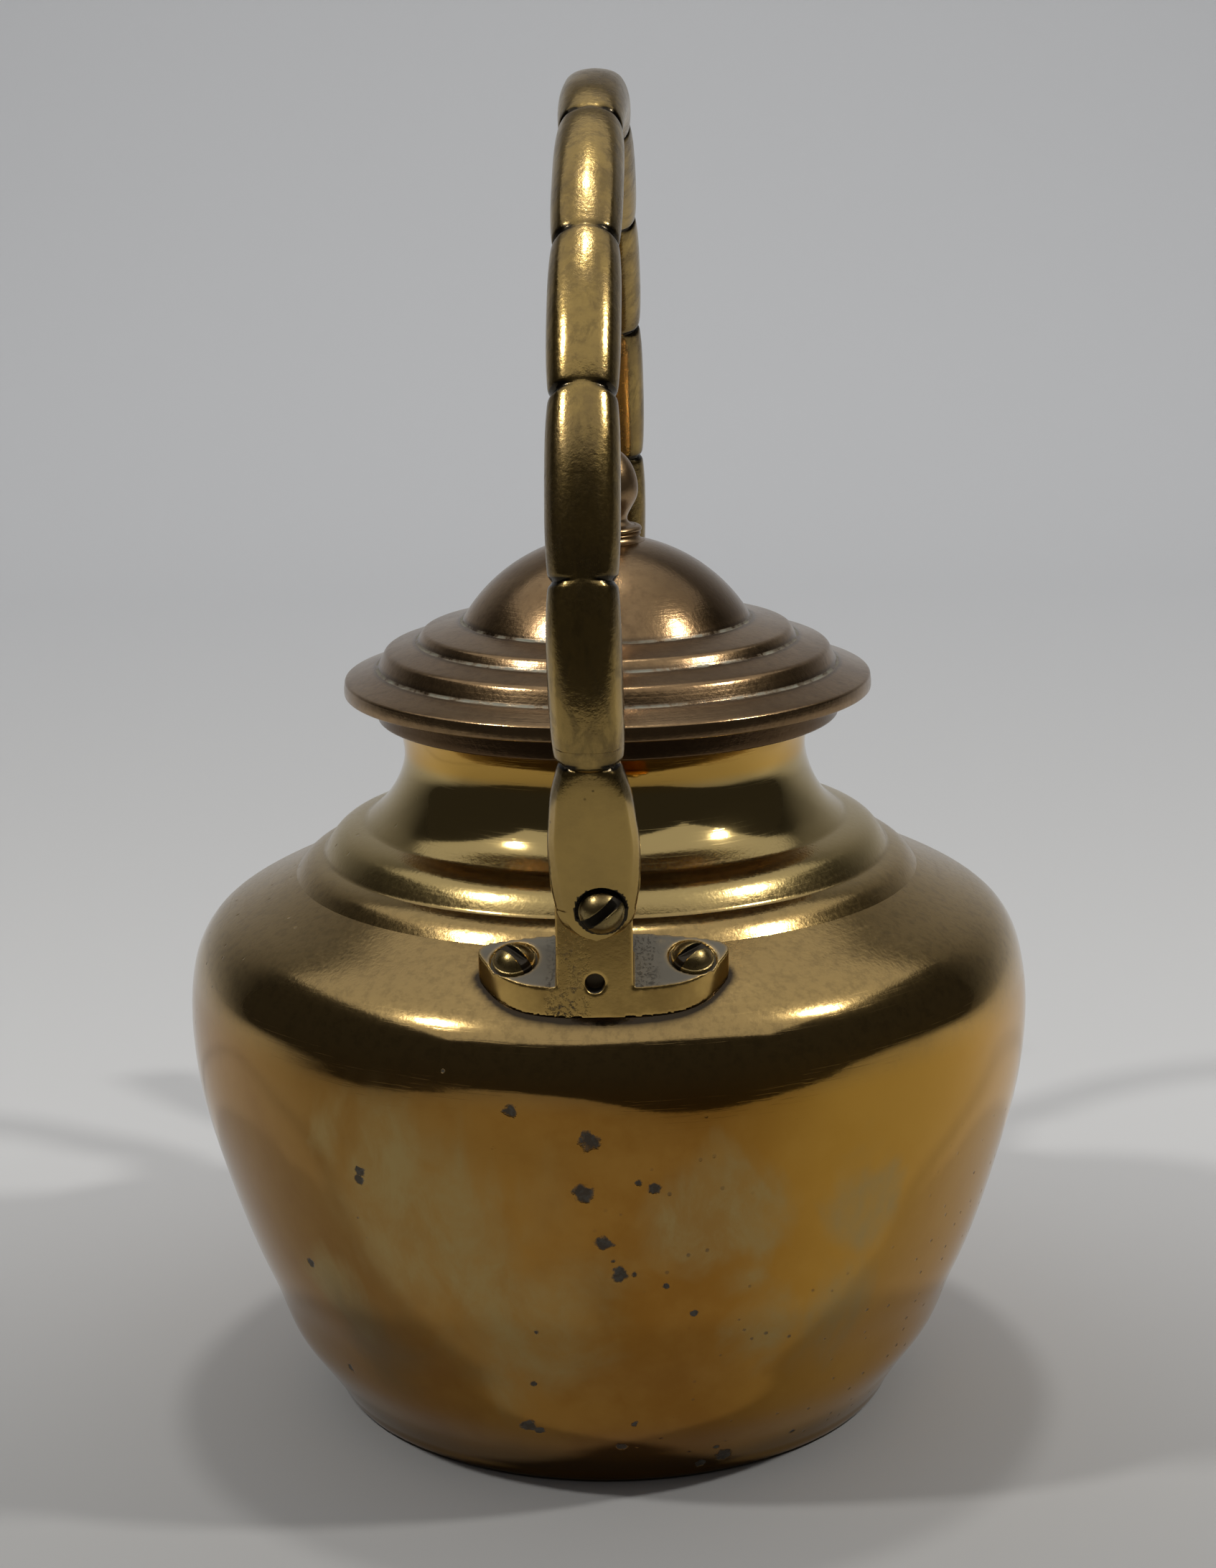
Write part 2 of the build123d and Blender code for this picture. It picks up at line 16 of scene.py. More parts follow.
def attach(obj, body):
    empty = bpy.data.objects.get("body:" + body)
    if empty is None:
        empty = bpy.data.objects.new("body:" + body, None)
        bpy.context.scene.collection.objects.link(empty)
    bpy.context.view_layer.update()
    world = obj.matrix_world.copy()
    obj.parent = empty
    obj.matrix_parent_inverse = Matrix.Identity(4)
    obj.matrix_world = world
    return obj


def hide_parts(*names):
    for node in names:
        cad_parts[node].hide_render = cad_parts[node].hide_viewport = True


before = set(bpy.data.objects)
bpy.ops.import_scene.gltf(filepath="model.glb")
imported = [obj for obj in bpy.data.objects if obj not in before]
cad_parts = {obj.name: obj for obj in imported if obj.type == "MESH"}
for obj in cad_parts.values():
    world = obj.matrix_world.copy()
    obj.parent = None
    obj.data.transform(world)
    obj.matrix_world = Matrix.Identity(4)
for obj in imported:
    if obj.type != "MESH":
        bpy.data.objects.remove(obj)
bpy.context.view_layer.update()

# %% [markdown]
# ## The camera
# The photograph was taken from close by and slightly above, so the handle's crown looks large and the
# lid's circles look like flat ellipses. A camera could be aimed by eye with a target, but its place
# was worked out from those circles, so its three axes are written down instead: right, down and
# forward, turned a little about the line of sight.

# %% Aim the camera
DISTANCE, EYE_HEIGHT, SIDESTEP = 0.550, 0.25306, math.radians(0.72)
PITCH, ROLL = math.radians(13.6013), math.radians(-1.0)
FOCAL_PIXELS, LONG_SIDE, SHORT_SIDE, CENTRE_X, SENSOR = 4063.2, 2184, 1694, 843.0, 36.0


def aim_camera():
    """The eye lies behind the object's front by the distance and above the table by the height. The
    axes are tilted down by the pitch, turned about the vertical by the sidestep, then rolled."""
    turn = Matrix.Rotation(SIDESTEP, 3, "Z")
    right = turn @ Vector((1, 0, 0))
    down = turn @ Vector((0, -math.sin(PITCH), -math.cos(PITCH)))
    forward = turn @ Vector((0, math.cos(PITCH), -math.sin(PITCH)))
    across = right * math.cos(ROLL) - down * math.sin(ROLL)
    upward = -(right * math.sin(ROLL) + down * math.cos(ROLL))
    lens = bpy.data.cameras.new("photograph_view")
    lens.sensor_fit = "AUTO"
    lens.sensor_width = SENSOR
    lens.lens = FOCAL_PIXELS / LONG_SIDE * SENSOR
    lens.shift_x = (SHORT_SIDE / 2 - CENTRE_X) / LONG_SIDE
    lens.clip_start, lens.clip_end = 0.01, 50.0
    camera = bpy.data.objects.new("photograph_view", lens)
    bpy.context.collection.objects.link(camera)
    axes = Matrix((across, upward, -forward)).transposed().to_4x4()
    eye = turn @ Vector((0, -DISTANCE, EYE_HEIGHT))
    camera.matrix_world = Matrix.Translation(eye) @ axes
    bpy.context.scene.camera = camera
    return camera


camera = aim_camera()
print("lens", round(camera.data.lens, 2), "mm, eye at", [round(v * 1000, 1) for v in camera.location])

# %% [markdown]
# ## From a grid of points to a mesh
# Nearly every piece is a surface with two parameters: how far round and how far along. If its points
# are laid out as a grid of rows and columns, the faces follow by joining neighbours. A subdivided
# cage could be modelled by hand too, but a formula keeps the piece at the drawing's exact size.

# %% Grid helper
MM = 0.001


def grid_piece(name, points, close_rows=True, close_columns=False):
    """Joins a grid of points, in millimetres, into quads with their neighbours in the next row and
    the next column. Points that fall together, as at a pole, are merged and faces turned outwards."""
    rows, columns = points.shape[:2]
    i = np.arange(rows if close_rows else rows - 1)
    j = np.arange(columns if close_columns else columns - 1)
    i, j = np.meshgrid(i, j, indexing="ij")
    after_i, after_j = (i + 1) % rows, (j + 1) % columns
    quads = np.stack([i * columns + j, after_i * columns + j, after_i * columns + after_j,
                      i * columns + after_j], axis=-1).reshape(-1, 4)
    mesh = bpy.data.meshes.new(name)
    mesh.from_pydata((points.reshape(-1, 3) * MM).tolist(), [], quads.tolist())
    tidy_mesh(mesh)
    piece = bpy.data.objects.new(name, mesh)
    bpy.context.collection.objects.link(piece)
    return piece


def tidy_mesh(mesh):
    """Merges points closer than a thousandth of a millimetre and turns every face outwards."""
    work = bmesh.new()
    work.from_mesh(mesh)
    bmesh.ops.remove_doubles(work, verts=work.verts, dist=1e-6)
    bmesh.ops.dissolve_degenerate(work, edges=work.edges, dist=1e-7)
    bmesh.ops.recalc_face_normals(work, faces=work.faces)
    work.to_mesh(mesh)
    work.free()
    mesh.shade_smooth()
    mesh.set_sharp_from_angle(angle=math.radians(42))


# %% [markdown]
# ## Where metal rubs and where dirt stays
# Old brass is bright on the edges that hands and cloths reach, and dark in its corners. A surface's
# own shape tells which is which: on an edge the neighbours of a point lie behind it, in a corner they
# lie in front of it. That number is kept on the mesh as an attribute, so that the finish can read it.

# %% Edge and corner measure
def mark_edges(piece, spread=3):
    """For each point: the mean of its neighbours' offsets, measured against its normal and divided by
    their mean distance. Positive on edges (rub), negative in corners (dirt), spread a few points."""
    mesh = piece.data
    count = len(mesh.vertices)
    place, normal = np.empty(count * 3), np.empty(count * 3)
    mesh.vertices.foreach_get("co", place)
    mesh.vertices.foreach_get("normal", normal)
    place, normal = place.reshape(-1, 3), normal.reshape(-1, 3)
    ends = np.empty(len(mesh.edges) * 2, dtype=np.int64)
    mesh.edges.foreach_get("vertices", ends)
    a, b = ends.reshape(-1, 2).T
    links = np.bincount(np.concatenate([a, b]), minlength=count).clip(1)
    step = place[b] - place[a]
    length = np.linalg.norm(step, axis=1)

    def gather(from_a, from_b):
        return np.bincount(a, from_a, count) + np.bincount(b, from_b, count)

    offset = np.stack([gather(step[:, k], -step[:, k]) for k in range(3)], axis=1)
    shape = -(offset * normal).sum(axis=1) / gather(length, length).clip(1e-9)
    for _ in range(spread):
        shape = 0.5 * shape + 0.5 * gather(shape[b], shape[a]) / links
    for name, values in (("rub", shape), ("dirt_and_shade", -shape)):
        layer = mesh.attributes.new(name, "FLOAT", "POINT")
        layer.data.foreach_set("value", values.clip(0, 1).astype(np.float32))
    return float(shape.max()), float(shape.min())


def points_of(piece):
    """The piece's points in millimetres, one row for each."""
    place = np.empty(len(piece.data.vertices) * 3)
    piece.data.vertices.foreach_get("co", place)
    return place.reshape(-1, 3) / MM


def add_dirt_and_shade(piece, amount):
    """Adds an amount for each point to what the corner measure found, up to 1: more dirt, and on the pot and
    the handle painted shade as well.
    """
    layer = piece.data.attributes["dirt_and_shade"].data
    found = np.empty(len(layer), dtype=np.float32)
    layer.foreach_get("value", found)
    layer.foreach_set("value", (found + amount).clip(0, 1).astype(np.float32))


def settle(piece, body, nodes):
    """Lets the piece ride with its body and hides the CAD nodes that it stands for; prints its triangles and
    marks its edges and corners.
    """
    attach(piece, body)
    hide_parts(*nodes)
    triangles = sum(len(p.vertices) - 2 for p in piece.data.polygons)
    print(piece.name, "triangles", triangles, "edge measure", [round(v, 3) for v in mark_edges(piece)])


# %% [markdown]
# ## Curves for turned pieces
# The pot, its neck, the lid and the knob are all round, made on a lathe or over a former. Each is
# described by half of its cross-section: radius and height. Two kinds of line are needed, a smooth
# curve through measured points and a broken line with its corners slightly rounded.

# %% Profile helpers
def smooth_curve(points, count):
    """Natural cubic curve through the points, over the chord length: its second slopes at the points
    come from one set of linear equations, and each stretch is the usual cubic between two points."""
    points = np.array(points, dtype=float)
    at = np.concatenate([[0], np.cumsum(np.linalg.norm(np.diff(points, axis=0), axis=1))])
    gap, rise = np.diff(at), np.diff(points, axis=0) / np.diff(at)[:, None]
    size = len(points)
    rows = np.eye(size)
    right = np.zeros_like(points)
    inner = np.arange(1, size - 1)
    rows[inner, inner] = 2 * (gap[:-1] + gap[1:])
    rows[inner, inner - 1], rows[inner, inner + 1] = gap[:-1], gap[1:]
    right[inner] = 6 * (rise[1:] - rise[:-1])
    bend = np.linalg.solve(rows, right)
    t = np.linspace(0, at[-1], count)
    k = np.clip(np.searchsorted(at, t, side="right") - 1, 0, size - 2)
    u, h = (t - at[k])[:, None], gap[k][:, None]
    return (points[k] + u * (rise[k] - h * (2 * bend[k] + bend[k + 1]) / 6)
            + u ** 2 * bend[k] / 2 + u ** 3 * (bend[k + 1] - bend[k]) / (6 * h))


def rounded_line(corners, radii, steps):
    """The broken line with each corner replaced by a small curve, a blend of the corner with two
    points set back along its sides. The set-back is the radius, or 0.45 of the shorter side."""
    corners = np.array(corners, dtype=float)
    radii = np.broadcast_to(np.array(radii, dtype=float), len(corners))
    before, after = np.roll(corners, 1, axis=0), np.roll(corners, -1, axis=0)
    back, ahead = before - corners, after - corners
    length_b = np.linalg.norm(back, axis=1, keepdims=True)
    length_a = np.linalg.norm(ahead, axis=1, keepdims=True)
    setback = np.minimum(radii[:, None], 0.45 * np.minimum(length_b, length_a))
    start = corners + back / length_b * setback
    end = corners + ahead / length_a * setback
    t = np.linspace(0, 1, steps)[None, :, None]
    curve = (1 - t) ** 2 * start[:, None] + 2 * t * (1 - t) * corners[:, None] + t ** 2 * end[:, None]
    return np.concatenate([corners[:1], curve[1:-1].reshape(-1, 2), corners[-1:]])


def fill_in(profile, spacing, closed=False):
    """The same line with more points on its long runs, none further apart than the spacing."""
    if closed:
        profile = np.concatenate([profile, profile[:1]])
    step = np.linalg.norm(np.diff(profile, axis=0), axis=1)
    profile = profile[np.concatenate([[True], step > 1e-6])]
    step = np.linalg.norm(np.diff(profile, axis=0), axis=1)
    at = np.concatenate([[0], np.cumsum(step)])
    parts = np.maximum(1, np.ceil(step / spacing)).astype(int)
    within = np.arange(parts.sum()) - np.repeat(np.cumsum(parts) - parts, parts)
    wanted = np.repeat(at[:-1], parts) + within * np.repeat(step / parts, parts)
    wanted = wanted if closed else np.append(wanted, at[-1])
    return np.stack([np.interp(wanted, at, profile[:, k]) for k in range(2)], axis=1)


def set_in(curve, distance):
    """The curve moved to its left by the sheet's thickness, square to its own direction."""
    slope = np.gradient(curve, axis=0)
    slope /= np.linalg.norm(slope, axis=1, keepdims=True)
    return curve + np.stack([-slope[:, 1], slope[:, 0]], axis=1) * distance


def turned(name, profile, columns, closed=True, unevenness=None, off_centre=0.0):
    """Carries a profile of radius and height round the Z axis: x = r cos a, y = r sin a. Unevenness
    is a function of the angle and height that makes the radius smaller by a little. A piece that
    lies off centre has its x moved by that many millimetres."""
    angle = np.linspace(0, 2 * np.pi, columns, endpoint=False)[:, None]
    radius, height = profile[:, 0][None, :], profile[:, 1][None, :]
    if unevenness is not None:
        radius = radius - unevenness(angle, height)
    points = np.stack([radius * np.cos(angle) + off_centre, radius * np.sin(angle),
                       height + 0 * angle], axis=-1)
    return grid_piece(name, points, close_columns=closed)


# %% [markdown]
# ## Shader sums
# A finish is worked out from many small values: a distance to a pit, a noise, a mask. Written as
# separate Math nodes that would fill pages, so one small class wraps a socket and lets Python's own
# signs add the nodes: 1 - mask, mask * 0.4, a ** 2.

# %% Sums of sockets
class Value:
    """A socket that carries one number. Every sign adds a Math node to its tree."""

    def __init__(self, finish, socket):
        self.finish, self.socket = finish, socket

    def sum(self, operation, first, second):
        """One Math node on two numbers or values."""
        made = self.finish.node("ShaderNodeMath", {"operation": operation}, {0: first, 1: second})
        return Value(self.finish, made.outputs[0])

    def __add__(self, other):
        return self.sum("ADD", self, other)

    def __sub__(self, other):
        return self.sum("SUBTRACT", self, other)

    def __rsub__(self, other):
        return self.sum("SUBTRACT", other, self)

    def __mul__(self, other):
        return self.sum("MULTIPLY", self, other)

    def __pow__(self, other):
        return self.sum("POWER", self, other)

    __radd__, __rmul__ = __add__, __mul__

    def larger(self, other):
        return self.sum("MAXIMUM", self, other)

    def smaller(self, other):
        return self.sum("MINIMUM", self, other)

    def between(self, low, high, to_low=0.0, to_high=1.0):
        """Rises smoothly from one value to another while this value goes from low to high."""
        made = self.finish.node("ShaderNodeMapRange", {"interpolation_type": "SMOOTHSTEP"}, {
            "Value": self, "From Min": low, "From Max": high, "To Min": to_low, "To Max": to_high})
        return Value(self.finish, made.outputs["Result"])


# %% [markdown]
# A finish is one material. It has a place to start from, the point's own coordinates on the piece,
# a method for any node, and short names for the few kinds of node that are needed again and again.

# %% One material
class Finish:
    """One material whose nodes are added by name, with their settings first and then their inputs."""

    def __init__(self, name, metallic=1.0):
        self.material = bpy.data.materials.new(name)
        self.material.use_nodes = True
        self.tree = self.material.node_tree
        self.shader = next(n for n in self.tree.nodes if n.type == "BSDF_PRINCIPLED")
        self.shader.inputs["Metallic"].default_value = metallic
        self.place = self.node("ShaderNodeTexCoord", {}, {}).outputs["Object"]
        parts = self.node("ShaderNodeSeparateXYZ", {}, {0: self.place})
        self.x, self.y, self.z = (Value(self, parts.outputs[k]) for k in range(3))

    def node(self, kind, settings, sockets):
        """Adds a node of any kind, sets it up, and fills its sockets by name or by number."""
        made = self.tree.nodes.new(kind)
        for name, setting in settings.items():
            setattr(made, name, setting)
        for name, value in sockets.items():
            self.join(made.inputs[name], value)
        return made

    def join(self, socket, value):
        """Puts a number or a colour into a socket, or links a value to it."""
        value = value.socket if isinstance(value, Value) else value
        if isinstance(value, bpy.types.NodeSocket):
            self.tree.links.new(value, socket)
        else:
            socket.default_value = value

    def noise(self, scale, detail=3.0, roughness=0.55, distortion=0.0, place=None):
        """A cloudy value about 0.5, with as many lumps to the metre as the scale says."""
        made = self.node("ShaderNodeTexNoise", {}, {
            "Vector": place or self.place, "Scale": scale, "Detail": detail, "Roughness": roughness,
            "Distortion": distortion})
        return Value(self, made.outputs["Fac"])

    def cells(self, scale):
        """The distance to the nearest of many scattered points, in units of 1 / scale."""
        made = self.node("ShaderNodeTexVoronoi", {}, {"Vector": self.place, "Scale": scale})
        return Value(self, made.outputs["Distance"])

    def stretched(self, scale, turn):
        """The place on the piece, turned and scaled unevenly, for scratches and hazes with a grain."""
        return self.node("ShaderNodeMapping", {}, {
            "Vector": self.place, "Rotation": turn, "Scale": scale}).outputs[0]

    def measure(self, name):
        """A number that the mesh keeps for each of its points."""
        return Value(self, self.node("ShaderNodeAttribute", {"attribute_name": name}, {}).outputs["Fac"])

    def distance(self, point_mm):
        """How far a point given in millimetres is, in metres."""
        made = self.node("ShaderNodeVectorMath", {"operation": "DISTANCE"}, {
            0: self.place, 1: [v * MM for v in point_mm]})
        return Value(self, made.outputs["Value"])

    def blend(self, factor, first, second):
        """The first colour where the factor is 0, the second where it is 1."""
        made = self.node("ShaderNodeMix", {"data_type": "RGBA"}, {"Factor": factor})
        self.join(made.inputs[6], first if not isinstance(first, tuple) else (*first, 1.0))
        self.join(made.inputs[7], second if not isinstance(second, tuple) else (*second, 1.0))
        return made.outputs[2]

    def tarnish(self, bright, dull, patch, amount, dirt_and_shade, rub):
        """Colour: bright to dull by a patchy noise, back to bright on edges. Keeps the noises and the
        masks of the edges and corners, which the rest of the finish is worked out from."""
        slow = self.noise(patch, 5.0, 0.6, 0.4)
        self.slow, self.fine = slow, self.noise(patch * 9, 4.0, 0.65)
        self.patches = (slow * 0.75 + self.fine * 0.25).between(0.42, 0.62) * amount
        self.edges = (self.measure("rub") * rub).smaller(1.0)
        # On the pot and the handle the corner measure also holds painted shade, so these corners are partly
        # dirt and partly painted shade.
        self.corners = (self.measure("dirt_and_shade") * dirt_and_shade * (self.fine * 0.8 + 0.6)).smaller(1.0)
        self.colour = self.blend(self.patches * (1 - self.edges), bright, dull)

    def cover(self, factor, colour):
        """Lays a colour over the finish's own, as far as the factor says."""
        self.colour = self.blend(factor, self.colour, colour)

    def wear(self, roughness, height, strength, depth, metallic=None):
        """Joins the worked-out colour, roughness and height to the shader, the last through Bump."""
        self.join(self.shader.inputs["Base Color"], self.colour)
        self.join(self.shader.inputs["Roughness"], roughness)
        if metallic is not None:
            self.join(self.shader.inputs["Metallic"], metallic)
        bump = self.node("ShaderNodeBump", {}, {
            "Height": height, "Strength": strength, "Distance": depth})
        self.join(self.shader.inputs["Normal"], bump.outputs[0])
        return self.material


# %% [markdown]
# ## The pot's wall
# The body is sheet brass, raised in a bowl and a shoulder that are brazed together at the widest line
# and polished flush. So one surface stands for both: the outside's smooth curve, the same curve set
# in by the sheet's thickness, and the narrow ring that the pot stands on. Hand work leaves the sheet
# uneven, by up to a millimetre at the roll of the shoulder, which makes its reflections swim.

# %% Turn the pot's wall
SHEET, SEAT_R, RING_R = 1.3, 46.0, 50.0
FOOT_CORNER = [(53.2, 0.0), (54.4, 0.18), (55.2, 0.8), (55.8, 1.75), (56.3, 2.8)]
WALL = [(56.3, 2.8), (60.6, 9.0), (64.6, 15.0), (68.2, 24.0), (70.8, 30.0), (75.1, 42.0), (78.3, 54.0),
        (80.8, 66.0), (81.7, 77.0), (81.4, 84.0), (79.9, 90.0), (76.5, 95.5), (71.8, 98.9), (66.0, 101.8),
        (60.2, 104.7)]
BOX_MARGIN = 0.03
wall_curve = smooth_curve(WALL, 190)


def from_near_side(angle):
    """The same angle counted from the side that faces the camera, between -pi and pi."""
    return (angle + 1.5 * np.pi) % (2 * np.pi) - np.pi


def hand_work(angle, height):
    """How far the hammer left the wall inside its true line: slow waves round and up the wall, and two
    places on the near side where the roll of the shoulder starts higher. None at foot and top."""
    turn = from_near_side(angle)
    waves = (0.55 * np.sin(7 * turn - 0.4 + height / 8) + 0.40 * np.sin(12 * turn + 1.9 - height / 9)
             + 0.35 * np.sin(4 * turn + 2.6 + height / 11) + 0.20 * np.sin(2 * turn - height / 19))
    fade = np.clip((97 - height) / 12, 0, 1) * np.clip(height / 8, 0, 1)
    roll = (-0.95 * np.exp(-((turn + 0.10) / 0.17) ** 2) - 0.65 * np.exp(-((turn - 0.78) / 0.16) ** 2)
            + 0.28 * np.sin(9 * turn + 1.0))
    above = (height - 83) / 8
    return 0.38 * (1 + 0.60 * waves) * fade + roll * above * np.exp(-(above / 1.1) ** 2) * fade


def turn_pot_wall():
    """Foot, outside, inside (coarser) and the ring that it stands on, all drawn in by a hair so that
    the pot stays inside the drawing's box."""
    outside = np.concatenate([smooth_curve(FOOT_CORNER, 9)[:-1], wall_curve])
    inside = set_in(wall_curve, SHEET)[::-4]
    ring = [[SEAT_R, SHEET], [SEAT_R, 0.0], [RING_R, 0.0]]
    profile = np.concatenate([outside, inside, ring]) - [BOX_MARGIN, 0]
    return turned("pot_wall", profile, 320, unevenness=hand_work)


pot_wall = turn_pot_wall()
settle(pot_wall, "pot", ["pot_shell", "pot_shoulder"])

# %% [markdown]
# ## The neck with its two swelling rings
# Above the shoulder come two soft rings and a neck that flares to the mouth. They are turned in one
# and brazed on, so the profile is a chain of smooth curves that meet in corners. The corners stay
# sharp on the mesh, because that is where the dark lines come from.

# %% Turn the neck
MOUTH_Z = 134.6
NECK_CURVES = [
    ([(60.2, 104.7), (57.9, 107.2), (54.6, 108.7)], 16),
    ([(54.6, 108.7), (51.6, 112.6), (46.6, 114.5)], 20),
    ([(46.6, 114.5), (43.3, 117.4), (41.0, 120.6), (39.4, 124.4), (38.8, 128.0), (39.1, 131.4),
      (40.2, MOUTH_Z)], 34),
]


def neck_work(angle, height):
    """Slow waves round the neck, a third of a millimetre at most, that fade out at both of its ends."""
    turn = from_near_side(angle)
    waves = np.sin(3 * turn + 0.6 + height / 3.4) + 0.6 * np.sin(8 * turn - height / 2.6 + 1.0)
    fade = np.clip((height - 112) / 5, 0, 1) * np.clip((132.5 - height) / 5, 0, 1)
    return 0.11 * (1.6 + waves) * fade


def turn_neck():
    """The outer curves upwards, then each of them set in by the sheet's thickness on the way down."""
    outer = [smooth_curve(points, count) for points, count in NECK_CURVES]
    inner = [set_in(curve, SHEET)[::-2] for curve in reversed(outer)]
    profile = np.concatenate([c[:-1] for c in outer[:-1]] + [outer[-1]] + inner)
    profile[:, 1] = profile[:, 1].clip(None, MOUTH_Z)
    return turned("neck_turning", profile, 288, unevenness=neck_work)


neck = turn_neck()
settle(neck, "pot", ["neck_ring"])

# %% [markdown]
# The shoulder is painted darker along the edge of each bracket's plate, a painted shadow cast by the plate's
# edge: the darkening is 0.75 at the plate's outline and fades over a millimetre outside it.

# %% Painted shadow round the plates
PLATE_HALF, PLATE_NOSE, PLATE_DEPTH = 21.8, 75.0, 12.6
PLATE_EDGE = np.array([(0, 0), (0.23, 0.017), (0.41, 0.058), (0.61, 0.15), (0.75, 0.28), (0.845, 0.43),
                       (0.92, 0.61), (0.975, 0.78), (0.99, 0.885), (0.955, 0.965), (0.88, 1.0)])


def plate_gap(places):
    """Distance in plan from each place to the nearest plate's outline, found side by side."""
    half = smooth_curve(PLATE_EDGE * [PLATE_HALF, PLATE_DEPTH] - [0, PLATE_NOSE], 50)
    half = np.concatenate([half, [[0.0, half[-1, 1]]]])
    plan = np.stack([np.abs(places[:, 0]), -np.abs(places[:, 1])], axis=1)
    a, b = half[:-1], half[1:]
    along = ((plan[:, None] - a) * (b - a)).sum(-1) / ((b - a) ** 2).sum(-1)
    foot = a + along.clip(0, 1)[..., None] * (b - a)
    return np.linalg.norm(plan[:, None] - foot, axis=-1).min(axis=1)


wall_places = points_of(pot_wall)
off_x, off_y, height = np.abs(wall_places[:, 0]), np.abs(wall_places[:, 1]), wall_places[:, 2]
near_plate = (off_x < 30) & (off_y > 50) & (height > 92)
# Painted shadow of the plates' edges, added to the measure that holds the corners' dirt.
line = np.zeros(len(wall_places))
line[near_plate] = 0.75 * np.exp(-(plate_gap(wall_places[near_plate]) / 1.1) ** 2)
add_dirt_and_shade(pot_wall, line)
print("points on the plates' dirt lines", int((line > 0.2).sum()))

# %% [markdown]
# ## The spout
# It stands on the side away from the camera: a tapering tube that rises and leans over at the mouth.
# A tube is a circle carried along a centre line. Its lower end has to follow the round pot, so each
# line along the tube starts where that line leaves the pot's outside, found on the whole grid at once.

# %% Draw the spout
SPOUT = [(66.0, 50.0, 17.0), (80.0, 56.0, 15.2), (92.0, 66.5, 12.4), (101.0, 80.5, 10.4),
         (107.5, 96.0, 8.9), (113.5, 110.0, 7.9), (120.5, 121.0, 7.4), (126.5, 127.5, 7.6)]
SPOUT_WALL, LIP = 1.4, 0.35


def tube_lines(line, thinner, around):
    """Point = centre + radius (cos a X + sin a N), N square to the line in the Y-Z plane."""
    slope = np.gradient(line[:, :2], axis=0)
    slope /= np.linalg.norm(slope, axis=1, keepdims=True)
    angle = np.linspace(0, 2 * np.pi, around, endpoint=False)[:, None]
    radius = line[None, :, 2] - thinner
    return np.stack([radius * np.cos(angle),
                     line[None, :, 0] - radius * np.sin(angle) * slope[None, :, 1],
                     line[None, :, 1] + radius * np.sin(angle) * slope[None, :, 0]], axis=-1)


def start_at_pot(lines, count):
    """Each line along the tube, sampled afresh from the place where it leaves the pot's outside."""
    reach = np.hypot(lines[..., 0], lines[..., 1])
    pot = np.interp(lines[..., 2], wall_curve[:, 1], wall_curve[:, 0]) - 0.2
    first = (reach > pot).argmax(axis=1)
    before = np.maximum(first - 1, 0)
    row = np.arange(len(lines))
    gap_0, gap_1 = (reach - pot)[row, before], (reach - pot)[row, first]
    start = before + np.clip(-gap_0 / (gap_1 - gap_0 + 1e-9), 0, 1)
    spread = np.linspace(0, 1, count)[None, :] ** 1.1
    t = start[:, None] + (lines.shape[1] - 1.001 - start[:, None]) * spread
    k = t.astype(int)
    u = (t - k)[..., None]
    return lines[row[:, None], k] * (1 - u) + lines[row[:, None], k + 1] * u


def draw_spout():
    """Outer lines up to the mouth, a lip rounded over between the two walls, and inner lines down."""
    line = smooth_curve(SPOUT, 400)
    outer = start_at_pot(tube_lines(line, 0.0, 84), 110)
    inner = start_at_pot(tube_lines(line, SPOUT_WALL, 84), 70)[:, ::-1]
    middle = (outer[:, -1] + inner[:, 0]) / 2
    slope = line[-1, :2] - line[-2, :2]
    lift = np.array([0, *(slope / np.linalg.norm(slope))]) * LIP
    points = np.concatenate([outer[:, :-1], (outer[:, -1] - lift)[:, None], middle[:, None],
                             (inner[:, 0] - lift)[:, None], inner[:, 1:]], axis=1)
    return grid_piece("spout_tube", points, close_columns=True)


spout = draw_spout()
settle(spout, "pot", ["spout"])

# %% [markdown]
# ## The lid
# The lid is cast and turned: a rim, two steps and a dome, with a smaller ring below the rim that
# rests on the mouth. The steps' outer corners are a little rounded by polishing, the inner ones are
# sharp. The stud of the knob goes through a hole in the middle, so the profile closes on itself. The
# skirt fits loosely in the neck, and the lid has been put down 0.8 mm to the right of the middle.

# %% Turn the lid
DOME_R, DOME_FOOT, LID_WALL, STUD_R = 32.1, (27.6, 152.9), 2.2, 2.5
LID_PLAY = 0.8
LID_STEPS = [(36.6, 134.7), (44.3, 134.7), (44.0, 139.5), (50.5, 139.5), (50.5, 140.7), (50.3, 142.3),
             (44.0, 144.4), (42.4, 147.6), (36.3, 149.3), (35.1, 151.2), DOME_FOOT]
LID_ROUNDING = [0, 0.5, 0.2, 0.4, 0.3, 0.45, 0.15, 0.75, 0.15, 0.65, 0]
LID_HOLLOW = [(34.6, 143.5), (34.6, 140.5), (36.6, 140.5)]
dome_centre = DOME_FOOT[1] - math.sqrt(DOME_R ** 2 - DOME_FOOT[0] ** 2)
DOME_TOP = dome_centre + DOME_R


def dome_arc(radius, from_r, to_r, count):
    """Points of the circle round the dome's centre, between two distances from the axis."""
    angle = np.linspace(math.asin(from_r / radius), math.asin(to_r / radius), count)
    return np.stack([radius * np.sin(angle), dome_centre + radius * np.cos(angle)], axis=1)


